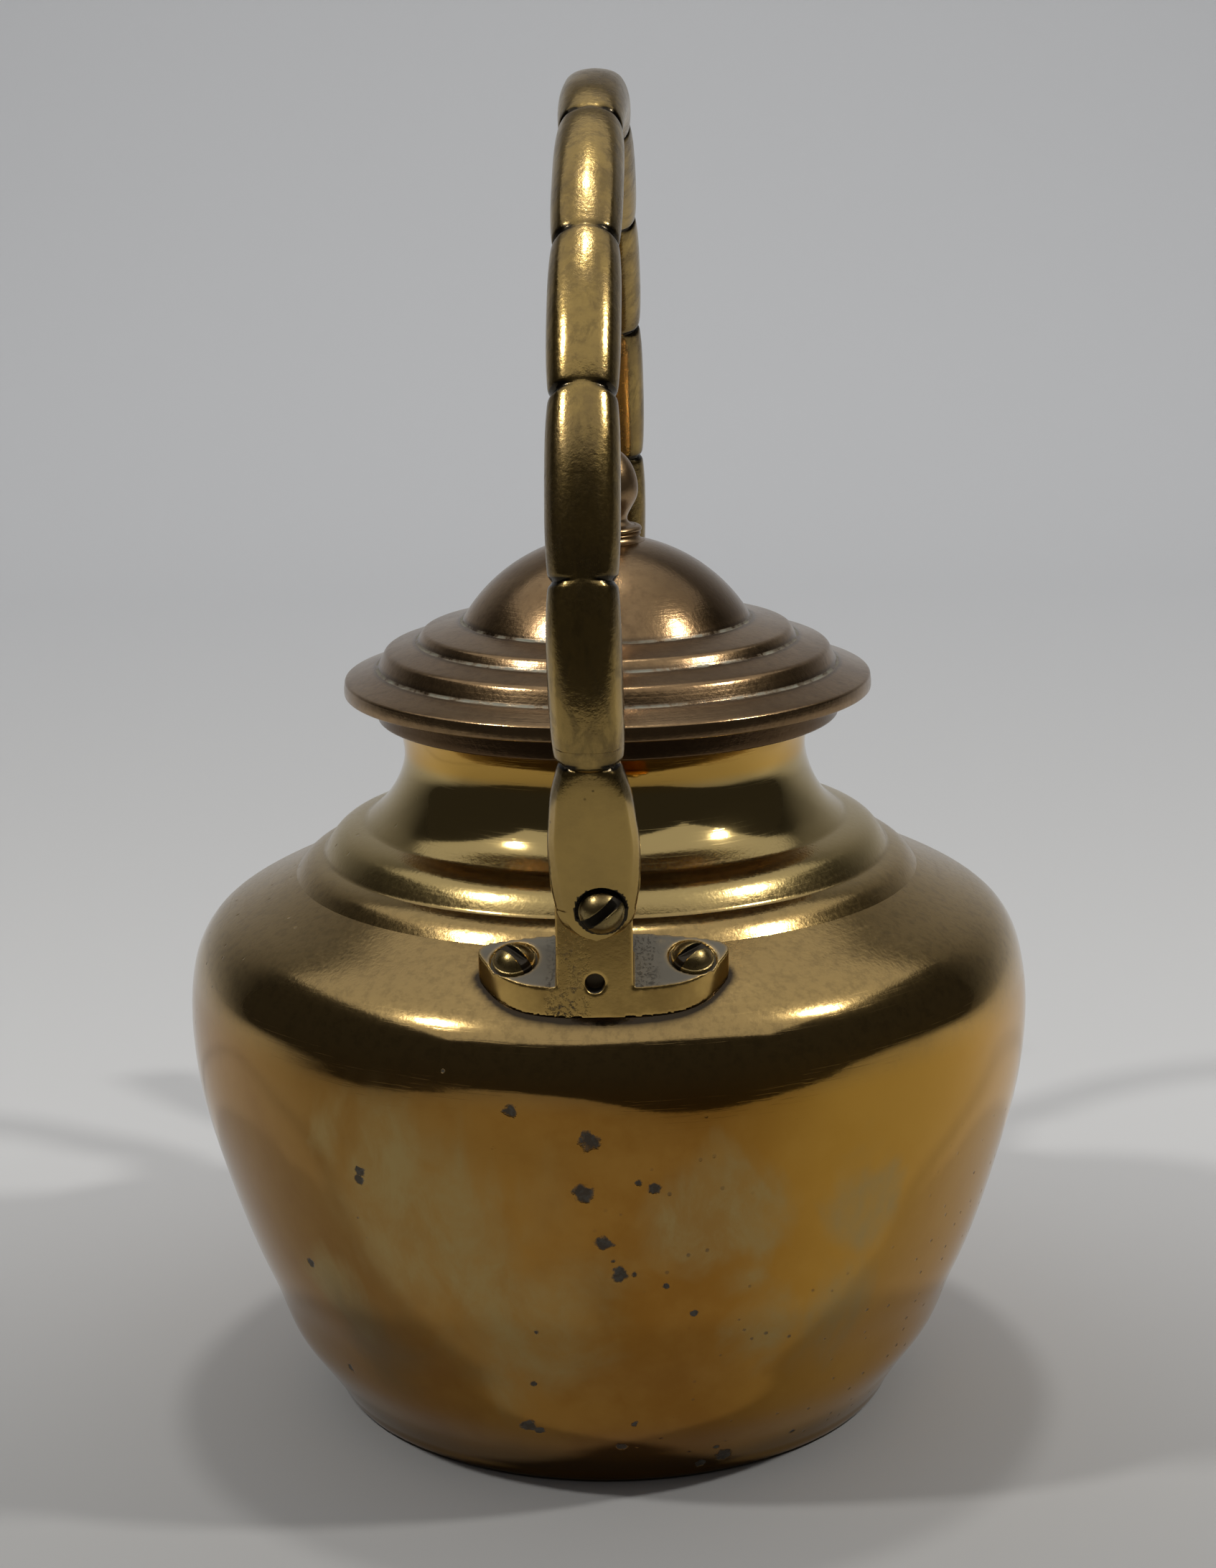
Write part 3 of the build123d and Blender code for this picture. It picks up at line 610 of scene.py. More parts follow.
def turn_lid():
    """The rounded steps, the dome up to the stud's hole, the dome's inside and the hollow under it."""
    steps = rounded_line(LID_STEPS, LID_ROUNDING, 6)
    inner_r = DOME_R - LID_WALL
    inner_foot_z = DOME_FOOT[1] - LID_WALL
    inner_foot_r = math.sqrt(inner_r ** 2 - (inner_foot_z - dome_centre) ** 2)
    profile = np.concatenate([steps, dome_arc(DOME_R, DOME_FOOT[0], STUD_R, 46)[1:],
                              dome_arc(inner_r, STUD_R, inner_foot_r, 26), LID_HOLLOW])
    return turned("lid_turning", fill_in(profile, 1.3, closed=True), 300, off_centre=LID_PLAY)


lid = turn_lid()
settle(lid, "lid", ["lid_casting"])

# %% [markdown]
# ## The knob
# An egg on a thin neck, with a collar and small rings where it meets the dome, all turned from one
# rod with its stud. Its foot follows the dome, and the profile starts and ends on the axis, where
# the grid's points fall together and are merged into one.

# %% Turn the knob
EGG_R, EGG_HEIGHT, EGG_RISE, KNOB_FOOT_R = 6.4, 8.2, 8.79, 7.6


def turn_knob():
    """Stud, foot on the dome, rings, collar and egg: x = 6.4 cos a, z = middle + 8.2 sin a."""
    top = DOME_TOP
    egg_angle = np.radians(np.arange(0, 90, 10))
    egg = list(zip(EGG_R * np.cos(egg_angle), top + EGG_RISE + EGG_HEIGHT * np.sin(egg_angle)))
    parts = [
        [(0.0, top - 8.95), (STUD_R, top - 8.95)],
        dome_arc(DOME_R + 0.01, STUD_R, KNOB_FOOT_R, 6),
        smooth_curve([(KNOB_FOOT_R, top - 0.88), (6.7, top - 0.35), (6.5, top + 0.1)], 8),
        smooth_curve([(6.5, top + 0.1), (6.85, top + 0.45), (6.5, top + 0.8)], 8),
        smooth_curve([(6.5, top + 0.8), (6.95, top + 1.1), (7.0, top + 1.5), (6.4, top + 2.0)], 10),
        smooth_curve([(5.2, top + 2.1), (4.3, top + 2.99), (4.7, top + 4.59), (5.6, top + 6.19),
                      (6.2, top + 7.49), *egg, (0.0, top + EGG_RISE + EGG_HEIGHT)], 70),
    ]
    profile = np.concatenate([np.array(p, dtype=float) for p in parts])
    profile[:, 0] = profile[:, 0].clip(0)
    return turned("knob", fill_in(profile, 0.8), 96, closed=False, off_centre=LID_PLAY)


knob = turn_knob()
settle(knob, "lid", ["finial"])

# %% [markdown]
# ## The handle
# One casting that imitates a bent bamboo cane: bulging lengths with notches between them, and at each
# end a leaf that closes round the pivot screw. It is a rounded section carried along the arch. The
# section's size is a function of how far along the cane it is, and of the direction, because the
# notches are cut deep at the sides and are faint across the front, where they bow upwards.

# %% The handle's centre line
PIVOT_Z, END_LENGTH, CROWN_LENGTH = 117.3, 26.9, 46.2
SEGMENT_LENGTHS = [30.1, 31.2, 31.0, 33.8]
NOTCH_ANGLES = (99.0, 101.0, 79.1, 58.0, 39.7, 26.6, 0.0)
STATIONS = np.cumsum([0, END_LENGTH, *SEGMENT_LENGTHS, CROWN_LENGTH / 2])
HALF = STATIONS[-1]
NOTCHES = np.concatenate([STATIONS[1:-1], 2 * HALF - STATIONS[-2:0:-1]])


def arch(s):
    """Place (y, z) and direction at each arc length: the direction turns evenly between notches, and
    the place is the running sum of its cosine and sine, from the rear pivot."""
    fine = np.linspace(0, HALF, 4001)
    angle = np.radians(np.interp(fine, STATIONS, NOTCH_ANGLES))
    middle = (angle[1:] + angle[:-1]) / 2
    step = fine[1]
    y = np.concatenate([[0], np.cumsum(np.cos(middle)) * step])
    z = PIVOT_Z + np.concatenate([[0], np.cumsum(np.sin(middle)) * step])
    y -= y[-1]
    near = np.minimum(s, 2 * HALF - s)
    past = np.minimum(near, 0)
    side = np.where(s <= HALF, 1.0, -1.0)
    heading = np.radians(np.interp(near, STATIONS, NOTCH_ANGLES))
    py = np.interp(near, fine, y) + past * math.cos(angle[0])
    pz = np.interp(near, fine, z) + past * math.sin(angle[0])
    return py * side, pz, heading * side, near, side


print("arch: pivot y", round(float(arch(np.array([0.0]))[0][0]), 2), "crown z",
      round(float(arch(np.array([HALF]))[1][0]), 2), "notches at", NOTCHES.round(1).tolist())

# %% [markdown]
# Each knot of the cane is a notch here, where one length ends in a hard line and the next begins. So
# each length swells between its two notches, and every notch is a narrow valley on top of that.

# %% Lengths and notches
BOW, NOTCH_WIDTH, NOTCH_DEPTH, PINCH_SIDE, PINCH_FRONT = 0.5, 0.62, 0.50, 0.66, 0.95


def along_length(s):
    """How far each arc length is between its two notches, from -1 at one to 1 at the next."""
    ends = np.concatenate([[0.0], NOTCHES, [2 * HALF]])
    k = np.clip(np.searchsorted(ends, s, side="right") - 1, 0, len(ends) - 2)
    return np.clip((s - ends[k]) / (ends[k + 1] - ends[k]), 0, 1) * 2 - 1


def swelling(s):
    """0 at every notch and 1 in the middle of each length: (1 - |u|^3)^0.75."""
    return (1 - np.abs(along_length(s)) ** 3) ** 0.75


def groove(s, width):
    """A narrow valley at each notch: the sum of exp(-(distance / width)^2)."""
    return np.exp(-((s[..., None] - NOTCHES) / width) ** 2).sum(axis=-1)


# %% [markdown]
# The cane's section has a nearly flat front, a bevel and a round back, and the leaf at each end is
# flatter still. Both are drawn as half a rounded line and blended where the leaf ends.

# %% The two sections
CANE = [(0.0, 1.0), (0.3, 0.97), (0.55, 0.885), (0.76, 0.72), (0.93, 0.36), (1.0, -0.02), (0.95, -0.42),
        (0.80, -0.74), (0.5, -0.94), (0.0, -1.0)]
CANE_ROUNDING = [0, 0.2, 0.2, 0.2, 0.2, 0.2, 0.25, 0.25, 0.25, 0]
FLAT_LEAF = [(0.0, 1.0), (0.34, 0.99), (0.60, 0.96), (0.82, 0.88), (0.985, 0.35), (1.0, 0.0),
             (0.97, -0.42), (0.84, -0.76), (0.56, -0.95), (0.0, -1.0)]
LEAF_ROUNDING = [0, 0.15, 0.15, 0.08, 0.2, 0.2, 0.25, 0.25, 0.25, 0]


def eased(share):
    """Kept between 0 and 1, with a soft start and end: 3 s^2 - 2 s^3."""
    share = np.clip(share, 0, 1)
    return share * share * (3 - 2 * share)


def half_and_mirror(corners, rounding, count):
    """Half of the strand's section is a rounded line: a front, a bevel down the side and a round
    back. The other half is its mirror image, and the points lie evenly along the line."""
    half = rounded_line(corners, rounding, 6)
    at = np.concatenate([[0], np.cumsum(np.linalg.norm(np.diff(half, axis=0), axis=1))])
    even = (np.arange(count // 2) + 0.5) / (count // 2) * at[-1]
    right = np.stack([np.interp(even, at, half[:, k]) for k in range(2)], axis=1)
    ring = np.concatenate([right[::-1], right * [-1, 1]])
    return ring[:, 0][:, None], ring[:, 1][:, None]


def cane_section(near, count):
    """The leaf's flat section near the pivot and the cane's round one above the first notch."""
    flat = half_and_mirror(FLAT_LEAF, LEAF_ROUNDING, count)
    round_one = half_and_mirror(CANE, CANE_ROUNDING, count)
    share = eased((near - 20) / 9)
    return [a * (1 - share) + b * share for a, b in zip(flat, round_one)]


def sideways(y, near):
    """The handle was set a little askew: 0.3 mm + 0.028 y across, and half of that at the pivots."""
    return (0.3 + 0.028 * y) * (0.5 + 0.5 * eased(near / 52))


# %% [markdown]
# The leaf has widths and depths of its own, measured from the pivot. Its front leans back towards the
# tip, and its back has to clear the bracket's post, so each of its depths is the smaller of two.

# %% Widths and depths
STRAND_W, STRAND_T, END_TIP_R = 12.66, 10.76, 5.6
POST_FACE, TIP_SLOPE, TIP_FRONT = 75.1, math.tan(math.radians(16.5)), 79.6
# half the leaf's width and its depth, each by the arc length from the pivot
LEAF_HALF = [(0, 6.8), (4.0, 7.5), (7.6, 7.75), (12.3, 7.8), (16.7, 7.35), (21.2, 6.8), (24.9, 5.8),
             (26.9, 5.2)]
LEAF_DEPTH = [(-END_TIP_R, 3.9), (0, 4.1), (4.5, 4.5), (11.5, 4.95), (18.5, 5.2), (24.1, 4.95), (26.9, 4.6)]


def soft_least(a, b, softness=0.5):
    """The smaller of two values with a rounded change-over: (a + b - sqrt((a - b)^2 + e^2)) / 2."""
    return (a + b - np.sqrt((a - b) ** 2 + softness ** 2)) / 2


def half_width_at(near):
    """Half the width before the notches pinch it: a round tip, the leaf, then the even cane."""
    leaf = smooth_curve(LEAF_HALF, 60)
    tip = LEAF_HALF[0][1] * np.sqrt(np.clip(1 - (near / END_TIP_R) ** 2, 0, 1))
    width = np.where(near < END_LENGTH, np.interp(near, leaf[:, 0], leaf[:, 1]), STRAND_W / 2)
    return np.where(near < 0, tip, width)


def depths_at(near, heading, y, z):
    """Front and back depth: the leaf's front ends in a slope, and its back stays clear of the post."""
    in_leaf = near < END_LENGTH
    depth = np.where(in_leaf, np.interp(near, *np.transpose(LEAF_DEPTH)), STRAND_T / 2)
    facing = np.abs(np.sin(heading)) - TIP_SLOPE * np.cos(heading)
    slope_room = (-np.abs(y) + TIP_SLOPE * (z - PIVOT_Z) + TIP_FRONT) / facing
    back_room = (np.abs(y) - POST_FACE) / np.abs(np.sin(heading)).clip(0.2)
    return (np.where(near < 30, soft_least(depth, slope_room), depth),
            np.where(near < 20, soft_least(depth, back_room, 0.15), depth))


# %% Cast the handle
def arc_lengths():
    """Where the rings of points lie: evenly all along, with more of them at notches and round ends."""
    last = 2 * HALF + END_TIP_R
    base = np.linspace(-END_TIP_R, last, 900)
    close = (NOTCHES[:, None] + np.linspace(-3.2, 3.2, 17)[None, :]).ravel()
    ends = (np.array([0, 2 * HALF])[:, None] + np.linspace(-1, 1, 25)[None, :] * END_TIP_R).ravel()
    s = np.unique(np.concatenate([base, close, ends]).round(4))
    return s[(s >= -END_TIP_R) & (s <= last)][None, :]


def cast_handle():
    """Each ring of points is the section, across times half the width and out times the depth, both
    less what the notches take. The notches bow upwards, most in the middle of the front and back."""
    s = arc_lengths()
    y, z, heading, near, side = arch(s)
    across, out = cane_section(near, 88)
    angle = np.arctan2(out, across)
    flat = np.sin(angle) ** 2
    bowed = s - side * BOW * flat ** 3 * np.clip(near / 20, 0, 1)
    pinch = (1 - swelling(bowed)) * PINCH_SIDE * (1 - flat)
    pinch = pinch + np.abs(along_length(bowed)) ** 2.2 * PINCH_FRONT * flat
    cut = groove(bowed, NOTCH_WIDTH) * (NOTCH_DEPTH * (1 - flat) ** 0.7 + 0.04)
    taken = np.where(near < END_LENGTH, 0, pinch) + cut
    front, back = depths_at(near, heading, y, z)
    width = np.where(near <= -END_TIP_R + 1e-6, 0, (half_width_at(near) - taken).clip(0))
    narrow = 0.17 * np.clip((14 - near) / 14, 0, 1) * np.clip(out, 0, 1) ** 1.5
    x = across * width * (1 - narrow) + sideways(y, near)
    n = out * (np.where(out > 0, front, back) - taken)
    ripple = 0.025 * np.sin(s / 3.1 + 2 * angle) + 0.02 * np.sin(s / 1.7 - 3 * angle)
    height = z + n * np.cos(heading) + np.where(near > 0, ripple, 0)
    return grid_piece("handle_casting", np.stack([x, y - n * np.sin(heading), height], axis=-1))


handle = cast_handle()
box = points_of(handle)
print("handle from", box.min(axis=0).round(1), "to", box.max(axis=0).round(1))

# %% [markdown]
# The pivot screw's head sits in a round pocket of each end. A pocket is a cut with a straight wall,
# so it is taken out with a Boolean against a cylinder drawn as a grid, and the result is kept.

# %% Sink the pockets
POCKET_R, POCKET_FLOOR, POCKET_RIM = 4.45, 79.0, 80.7


def keep_result(piece):
    """Replaces the piece's mesh by what its modifiers make of it, and removes the modifiers."""
    shown = piece.evaluated_get(bpy.context.evaluated_depsgraph_get())
    made = bpy.data.meshes.new_from_object(shown)
    old, piece.data = piece.data, made
    piece.modifiers.clear()
    bpy.data.meshes.remove(old)


def rod(name, radius, start, end, height):
    """A round bar along Y: rings of points at the start and end, with a point in each end's middle."""
    rings = np.array([[0, start], [radius, start], [radius, end], [0, end]], dtype=float)
    angle = np.linspace(0, 2 * np.pi, 72, endpoint=False)[:, None]
    points = np.stack([rings[None, :, 0] * np.cos(angle), rings[None, :, 1] + 0 * angle,
                       height + rings[None, :, 0] * np.sin(angle)], axis=-1)
    return grid_piece(name, points)


def sink_pockets(piece):
    """Cuts both pockets: from the floor's distance outwards, square to the pivots' axis."""
    for side in (-1, 1):
        cutter = rod("pocket_cutter", POCKET_R, side * POCKET_FLOOR, side * (POCKET_FLOOR + 12), PIVOT_Z)
        cut = piece.modifiers.new("pocket", "BOOLEAN")
        cut.operation, cut.solver, cut.object = "DIFFERENCE", "EXACT", cutter
        keep_result(piece)
        bpy.data.objects.remove(cutter)
    tidy_mesh(piece.data)


sink_pockets(handle)
settle(handle, "handle", ["handle"])

# %% [markdown]
# The notches are darkened more than the corner measure finds, with dirt and painted shade, and the leaf's
# upper corners and the pockets get painted shade. Painting it by hand would do for a still, but the notches'
# places are known, so it is worked out from them.

# %% Dirt and painted shade in the notches, the leaf's corners and the pockets
def notch_dirt_and_shade(places):
    """Dirt and painted shade at the sides of the notches: for each point, the nearest place on the arch gives
    how far the next notch is, and the distance from the middle says how far round to the side it lies.
    Painted shade is added on the leaf's upper corners and in the pockets."""
    s = np.linspace(-6, 2 * HALF + 6, 1500)
    y, z, _, near, side = arch(s)
    nearest = np.empty(len(places), dtype=int)
    for block in np.array_split(np.arange(len(places)), 60):
        gap = (places[block, 1][:, None] - y) ** 2 + (places[block, 2][:, None] - z) ** 2
        nearest[block] = gap.argmin(axis=1)
    off = np.abs(places[:, 0] - sideways(y, near)[nearest])
    to_side = np.clip((off - 1.2) / 3.2, 0, 1)
    bow = BOW * side[nearest] * (1 - np.clip(off / 5.5, 0, 1) ** 2)
    step = np.abs(s[nearest, None] - bow[:, None] - NOTCHES).min(axis=1)
    notch = np.exp(-(step / 0.55) ** 2) * (0.02 + 0.68 * to_side)
    notch = notch + 0.16 * np.exp(-(step / 2.4) ** 2) * to_side
    up = near[nearest]
    # Painted shade on the leaf's upper corners, where its narrowing facets lie in shade.
    leaf_corner_shade = np.clip((off - 7.6 * (1 - 0.62 * np.clip((up - 17.5) / 9, 0, 1))) / 0.5, 0, 1)
    leaf_corner_shade = leaf_corner_shade * (up > 17) * (up < 26.6) * 0.17
    # Painted shadow in the pockets, round the pivot screws' heads.
    from_pivot = np.hypot(places[:, 0], places[:, 2] - PIVOT_Z)
    inside = (from_pivot < POCKET_R + 0.05) * (np.abs(places[:, 1]) < POCKET_RIM) * 0.9
    return np.maximum(notch, np.maximum(leaf_corner_shade, inside))


add_dirt_and_shade(handle, notch_dirt_and_shade(points_of(handle)))

# %% [markdown]
# ## The brackets and the screws
# Each bracket is one small sand casting: an upright on a boat-shaped plate, with soft corners. The
# drawing's shape is right but sharp, so a copy of it is filled with small voxels and smoothed, which
# rounds every corner as fettling and wear do. The round-head screws get the same, only finer, and
# black dirt in their slots.

# %% Soften copies of the castings
def softened(name, node, voxel, passes):
    """A copy of the drawing's mesh, merged, filled with voxels of a given size in millimetres and
    smoothed a number of times, each pass moving a point part of the way to its neighbours' mean."""
    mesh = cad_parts[node].data.copy()
    mesh.name = name
    mesh.materials.clear()
    tidy_mesh(mesh)
    piece = bpy.data.objects.new(name, mesh)
    bpy.context.collection.objects.link(piece)
    fill = piece.modifiers.new("fill", "REMESH")
    fill.mode, fill.voxel_size, fill.adaptivity = "VOXEL", voxel * MM, 0.0
    ease = piece.modifiers.new("ease", "SMOOTH")
    ease.factor, ease.iterations = 0.5, passes
    keep_result(piece)
    piece.data.shade_smooth()
    return piece


def mark_facing_up(piece):
    """Keeps, as an attribute, how far each point of the piece faces up: 1 above about 45 degrees."""
    normal = np.empty(len(piece.data.vertices) * 3)
    piece.data.vertices.foreach_get("normal", normal)
    up = np.clip((normal.reshape(-1, 3)[:, 2] - 0.52) / 0.2, 0, 1)
    layer = piece.data.attributes.new("facing_up", "FLOAT", "POINT")
    layer.data.foreach_set("value", up.astype(np.float32))


# %% [markdown]
# A slot in a screw's head is narrow and deep, so it fills with black polish. The front bracket is the
# rear one turned half round, so the same three slots serve for both ends.

# %% Dirt in the slots
SLOT_W, SLOT_DEPTH, HEAD_R = 1.7, 1.4, 4.4
PLATE_SCREW, PLATE_TILT, PLATE_HEAD_H, PLATE_LIFT = (15.0, -65.2), math.radians(27), 3.0, 3.75
PIVOT_SEAT, PIVOT_HEAD_H = (0, -79.1, PIVOT_Z), 3.4
SLOT_TURN = {"left": -36, "right": 29, "pivot": 39}


def slot_dirt(places, seat, across, out, angle, head_h):
    """1 for the points in a screw's slot. Seen in the screw's own frame, the slot is a strip of its
    width through the axis, turned by its angle, and reaches down by its depth from the head's top."""
    across, out = np.array(across, dtype=float), np.array(out, dtype=float)
    up = np.cross(out, across)
    turn = math.radians(angle)
    off = places - np.array(seat)
    side = off @ (up * math.cos(turn) - across * math.sin(turn))
    high = off @ out
    radius = np.linalg.norm(off - high[:, None] * out, axis=1)
    dome = head_h * (1 - (radius / HEAD_R) ** 2)
    in_strip = np.clip((SLOT_W / 2 + 0.12 - np.abs(side)) / 0.1, 0, 1)
    below = np.clip((dome - 0.12 - high) / 0.15, 0, 1) * (high > head_h - SLOT_DEPTH - 0.3)
    past = np.clip((radius - 2.4) / 0.2, 0, 1) * (high > 0.1)
    return in_strip * np.maximum(below, past) * (radius < HEAD_R)


def plate_seat(side):
    """The seat, the direction across and the axis of a plate screw, as in the drawing."""
    x, y = side * PLATE_SCREW[0], PLATE_SCREW[1]
    r = math.hypot(x, y)
    out = np.array([x / r * math.sin(PLATE_TILT), y / r * math.sin(PLATE_TILT), math.cos(PLATE_TILT)])
    shoulder = wall_curve[::-1][:60]
    height = np.interp(r, shoulder[:, 0], shoulder[:, 1])
    return np.array([x, y, height]) + out * PLATE_LIFT, (-y / r, x / r, 0), out


# %% Cast the brackets and set the screws
castings, screws = [], []
for end, turned_round in (("rear", 1), ("front", -1)):
    bracket = softened(f"{end}_bracket_casting", f"{end}_bracket", 0.26, 3)
    settle(bracket, "pot", [f"{end}_bracket"])
    mark_facing_up(bracket)
    castings.append(bracket)
    for node in (f"{end}_bracket_screws", f"{end}_pivot_screw"):
        screw = softened(node + "_turned", node, 0.12, 2)
        settle(screw, "pot", [node])
        screws.append(screw)
        places = points_of(screw) * [turned_round, turned_round, 1]
        if node.endswith("pivot_screw"):
            dirt_and_shade = slot_dirt(places, PIVOT_SEAT, (1, 0, 0), (0, -1, 0), SLOT_TURN["pivot"], PIVOT_HEAD_H)
        else:
            dirt_and_shade = np.maximum(*[slot_dirt(places, *plate_seat(side), SLOT_TURN[name], PLATE_HEAD_H)
                                for name, side in (("left", -1), ("right", 1))])
        add_dirt_and_shade(screw, dirt_and_shade)

# %% [markdown]
# ## Floor, backdrop and light
# The pot stands on a plain pale surface that rises into a plain backdrop: one sheet, bent in a curve,
# so that no line shows behind the object. Polished metal shows its surroundings, so the light is a
# few soft lamps overhead in a dim room, as in the photograph: dark shoulders with bright patches,
# and a wall that mirrors the pale table.

# %% Lay the floor
def lay_floor():
    """A sheet carried along X: flat, then a quarter circle, then upright, in the Y-Z plane. An open
    sheet has no outside of its own, so its faces are turned to look at the pot."""
    bend_r, bend_at, front, top, half_width = 600.0, 900.0, -420.0, 2400.0, 3200.0
    turn = np.radians(np.linspace(0, 90, 25))
    bend = np.stack([bend_at + bend_r * np.sin(turn), bend_r * (1 - np.cos(turn))], axis=1)
    curve = np.concatenate([[[front, 0], [-200, 0], [0, 0], [400, 0]], bend, [[bend_at + bend_r, top]]])
    across = np.linspace(-half_width, half_width, 9)[:, None]
    points = np.stack([across + 0 * curve[:, 0], curve[:, 0] + 0 * across, curve[:, 1] + 0 * across], axis=-1)
    sheet = grid_piece("floor_sheet", points, close_rows=False)
    sheet.data.flip_normals()
    return sheet


def floor_finish():
    """Pale grey that gets lighter towards the back, which evens out the lamps' fall-off."""
    floor = Finish("floor_paper", metallic=0.0)
    near = floor.y.between(-0.42, -0.1)
    back = floor.y.between(-0.12, 0.16)
    far = floor.y.between(0.3, 1.3)
    floor.colour = floor.blend(near, (0.252, 0.250, 0.247), (0.335, 0.335, 0.333))
    floor.cover(back, (0.555, 0.56, 0.565))
    floor.cover(far, (0.72, 0.735, 0.758))
    floor.cover(floor.z.between(0.2, 1.5), (0.56, 0.56, 0.57))
    return floor.wear(0.8, floor.noise(900.0, 2.0), 0.05, 0.0001)


floor = lay_floor()
floor.data.materials.append(floor_finish())

# %% Hang the lamps
WARM, COOL = (1.0, 0.98, 0.94), (0.98, 0.98, 1.0)
LAMPS = [
    # name, place, what it is aimed at, size across and along (a disk has one), watts, colour
    ("lamp_left", (-0.62, -0.30, 0.95), (0, 0, 0.08), (0.075,), 4.1, WARM),
    ("lamp_right", (0.78, -0.20, 0.95), (0, 0, 0.08), (0.075,), 5.2, WARM),
    ("lamp_back", (0.0, 0.22, 1.60), (0, 0.1, 0), (0.16,), 5.0, WARM),
    ("lamp_ceiling", (0.0, -0.1, 1.7), (0, -0.1, 0), (3.4, 2.8), 16.5, COOL),
]


def hang_lamp(name, place, aim, size, power, colour):
    """A soft lamp at a place, turned so that it shines along the line to what it is aimed at."""
    light = bpy.data.lights.new(name, "AREA")
    light.shape, light.size = ("DISK", size[0]) if len(size) == 1 else ("RECTANGLE", size[0])
    light.size_y = size[-1]
    light.energy, light.color = power, colour
    lamp = bpy.data.objects.new(name, light)
    lamp.location = place
    lamp.rotation_mode = "QUATERNION"
    lamp.rotation_quaternion = (Vector(aim) - Vector(place)).to_track_quat("-Z", "Y")
    bpy.context.collection.objects.link(lamp)


def light_scene():
    """All the lamps, and a room that is almost dark around them."""
    for lamp in LAMPS:
        hang_lamp(*lamp)
    world = bpy.data.worlds.new("room")
    world.use_nodes = True
    ground = world.node_tree.nodes["Background"]
    ground.inputs["Color"].default_value = (0.034, 0.032, 0.030, 1.0)
    ground.inputs["Strength"].default_value = 1.0
    bpy.context.scene.world = world
    bpy.context.scene.view_settings.view_transform = "Standard"


light_scene()

# %% [markdown]
# ## Finishes
# All of it is brass of one kind or another, so one recipe serves, with a bright colour where it is
# rubbed, a dull one where it has tarnished, and a dark one for the dirt in corners and notches. Each
# piece adds its own marks: pits on the pot, lines from the lathe on the lid, oxide on the brackets.

# %% Two helpers for masks
def scratches(finish, turn, squeeze):
    """Thin marks: a noise squeezed hard in one direction, of which only the peaks are kept."""
    return finish.noise(1.0, 2.0, 0.5, 0.0, finish.stretched(squeeze, turn)).between(0.62, 0.67)


def largest(masks):
    """At each point the largest of several masks."""
    found, *rest = masks
    for mask in rest:
        found = found.larger(mask)
    return found


# %% [markdown]
# ## The pot's brass
# The wall is orange-brown and smooth enough to mirror the table, the shoulder is satin, and dull
# clouds and dark pits lie on the near side. A picture could be wrapped round it, but pits and clouds
# are round, so each is a distance to a point, made ragged by a noise.

# %% Where the pits and clouds are
PITS = [
    # across, height on the near side, radius, all in millimetres
    (-16.5, 82.2, 1.4), (-19.5, 75.4, 1.0), (-2.7, 77.0, 2.0), (-43.6, 66.9, 1.2), (-43.9, 65.2, 1.1),
    (-4.0, 67.1, 2.1), (-0.6, 57.3, 1.7), (1.0, 53.5, 0.7), (1.9, 50.8, 1.6), (4.6, 50.7, 0.7),
    (10.0, 47.9, 0.7), (15.0, 41.6, 0.8), (5.6, 68.9, 0.9), (8.2, 67.7, 1.3), (7.6, 69.4, 0.6),
    (-44.9, 56.8, 0.6), (-43.4, 53.0, 0.6), (-55.1, 42.8, 1.1), (-49.6, 18.0, 1.1), (-14.0, 25.6, 0.7),
    (-15.2, 15.3, 1.8), (-13.2, 14.4, 1.2), (4.1, 16.5, 0.9), (1.8, 10.2, 1.2), (20.4, 4.8, 1.8),
    (16.3, 3.5, 1.1), (19.1, 7.5, 0.7), (33.6, 6.5, 0.8), (-13.0, 38.0, 0.6), (-28.0, 88.0, 0.5),
]
CLOUDS = [
    # across, height and radius of the places where the polish has gone dull
    (-30.0, 56.0, 20.0), (-12.0, 40.0, 19.0), (-40.0, 70.0, 10.0), (21.0, 58.0, 12.0), (46.0, 60.0, 11.0),
    (36.0, 36.0, 13.0), (-50.0, 38.0, 9.0),
]
# The place of a dark patch painted on the wall, a painted reflection of the shadow on the table.
TABLE_SHADOW_REFLECTION = (-46.0, 29.0)


def near_side(x, z):
    """The point of the pot's outside at this x and height, on the side that faces the camera."""
    radius = float(np.interp(z, wall_curve[:, 1], wall_curve[:, 0]))
    return (x, -math.sqrt(max(radius ** 2 - x ** 2, 0)), z)


# %% Finish of the pot
def pot_marks(f):
    """The pits with their ragged outlines, and a sprinkling of far smaller specks."""
    ragged = f.noise(620.0, 3.0, 0.6) * 0.0018 - 0.0009
    pits = largest((f.distance(near_side(x, z)) + ragged * min(r, 1.5)).between(r * 0.00105, r * 0.0007)
                   for x, z, r in PITS)
    specks = f.cells(260.0).between(0.13, 0.06) * f.noise(13.0, 1.0).between(0.55, 0.68)
    return pits, pits.larger(specks * 0.7).smaller(1.0)


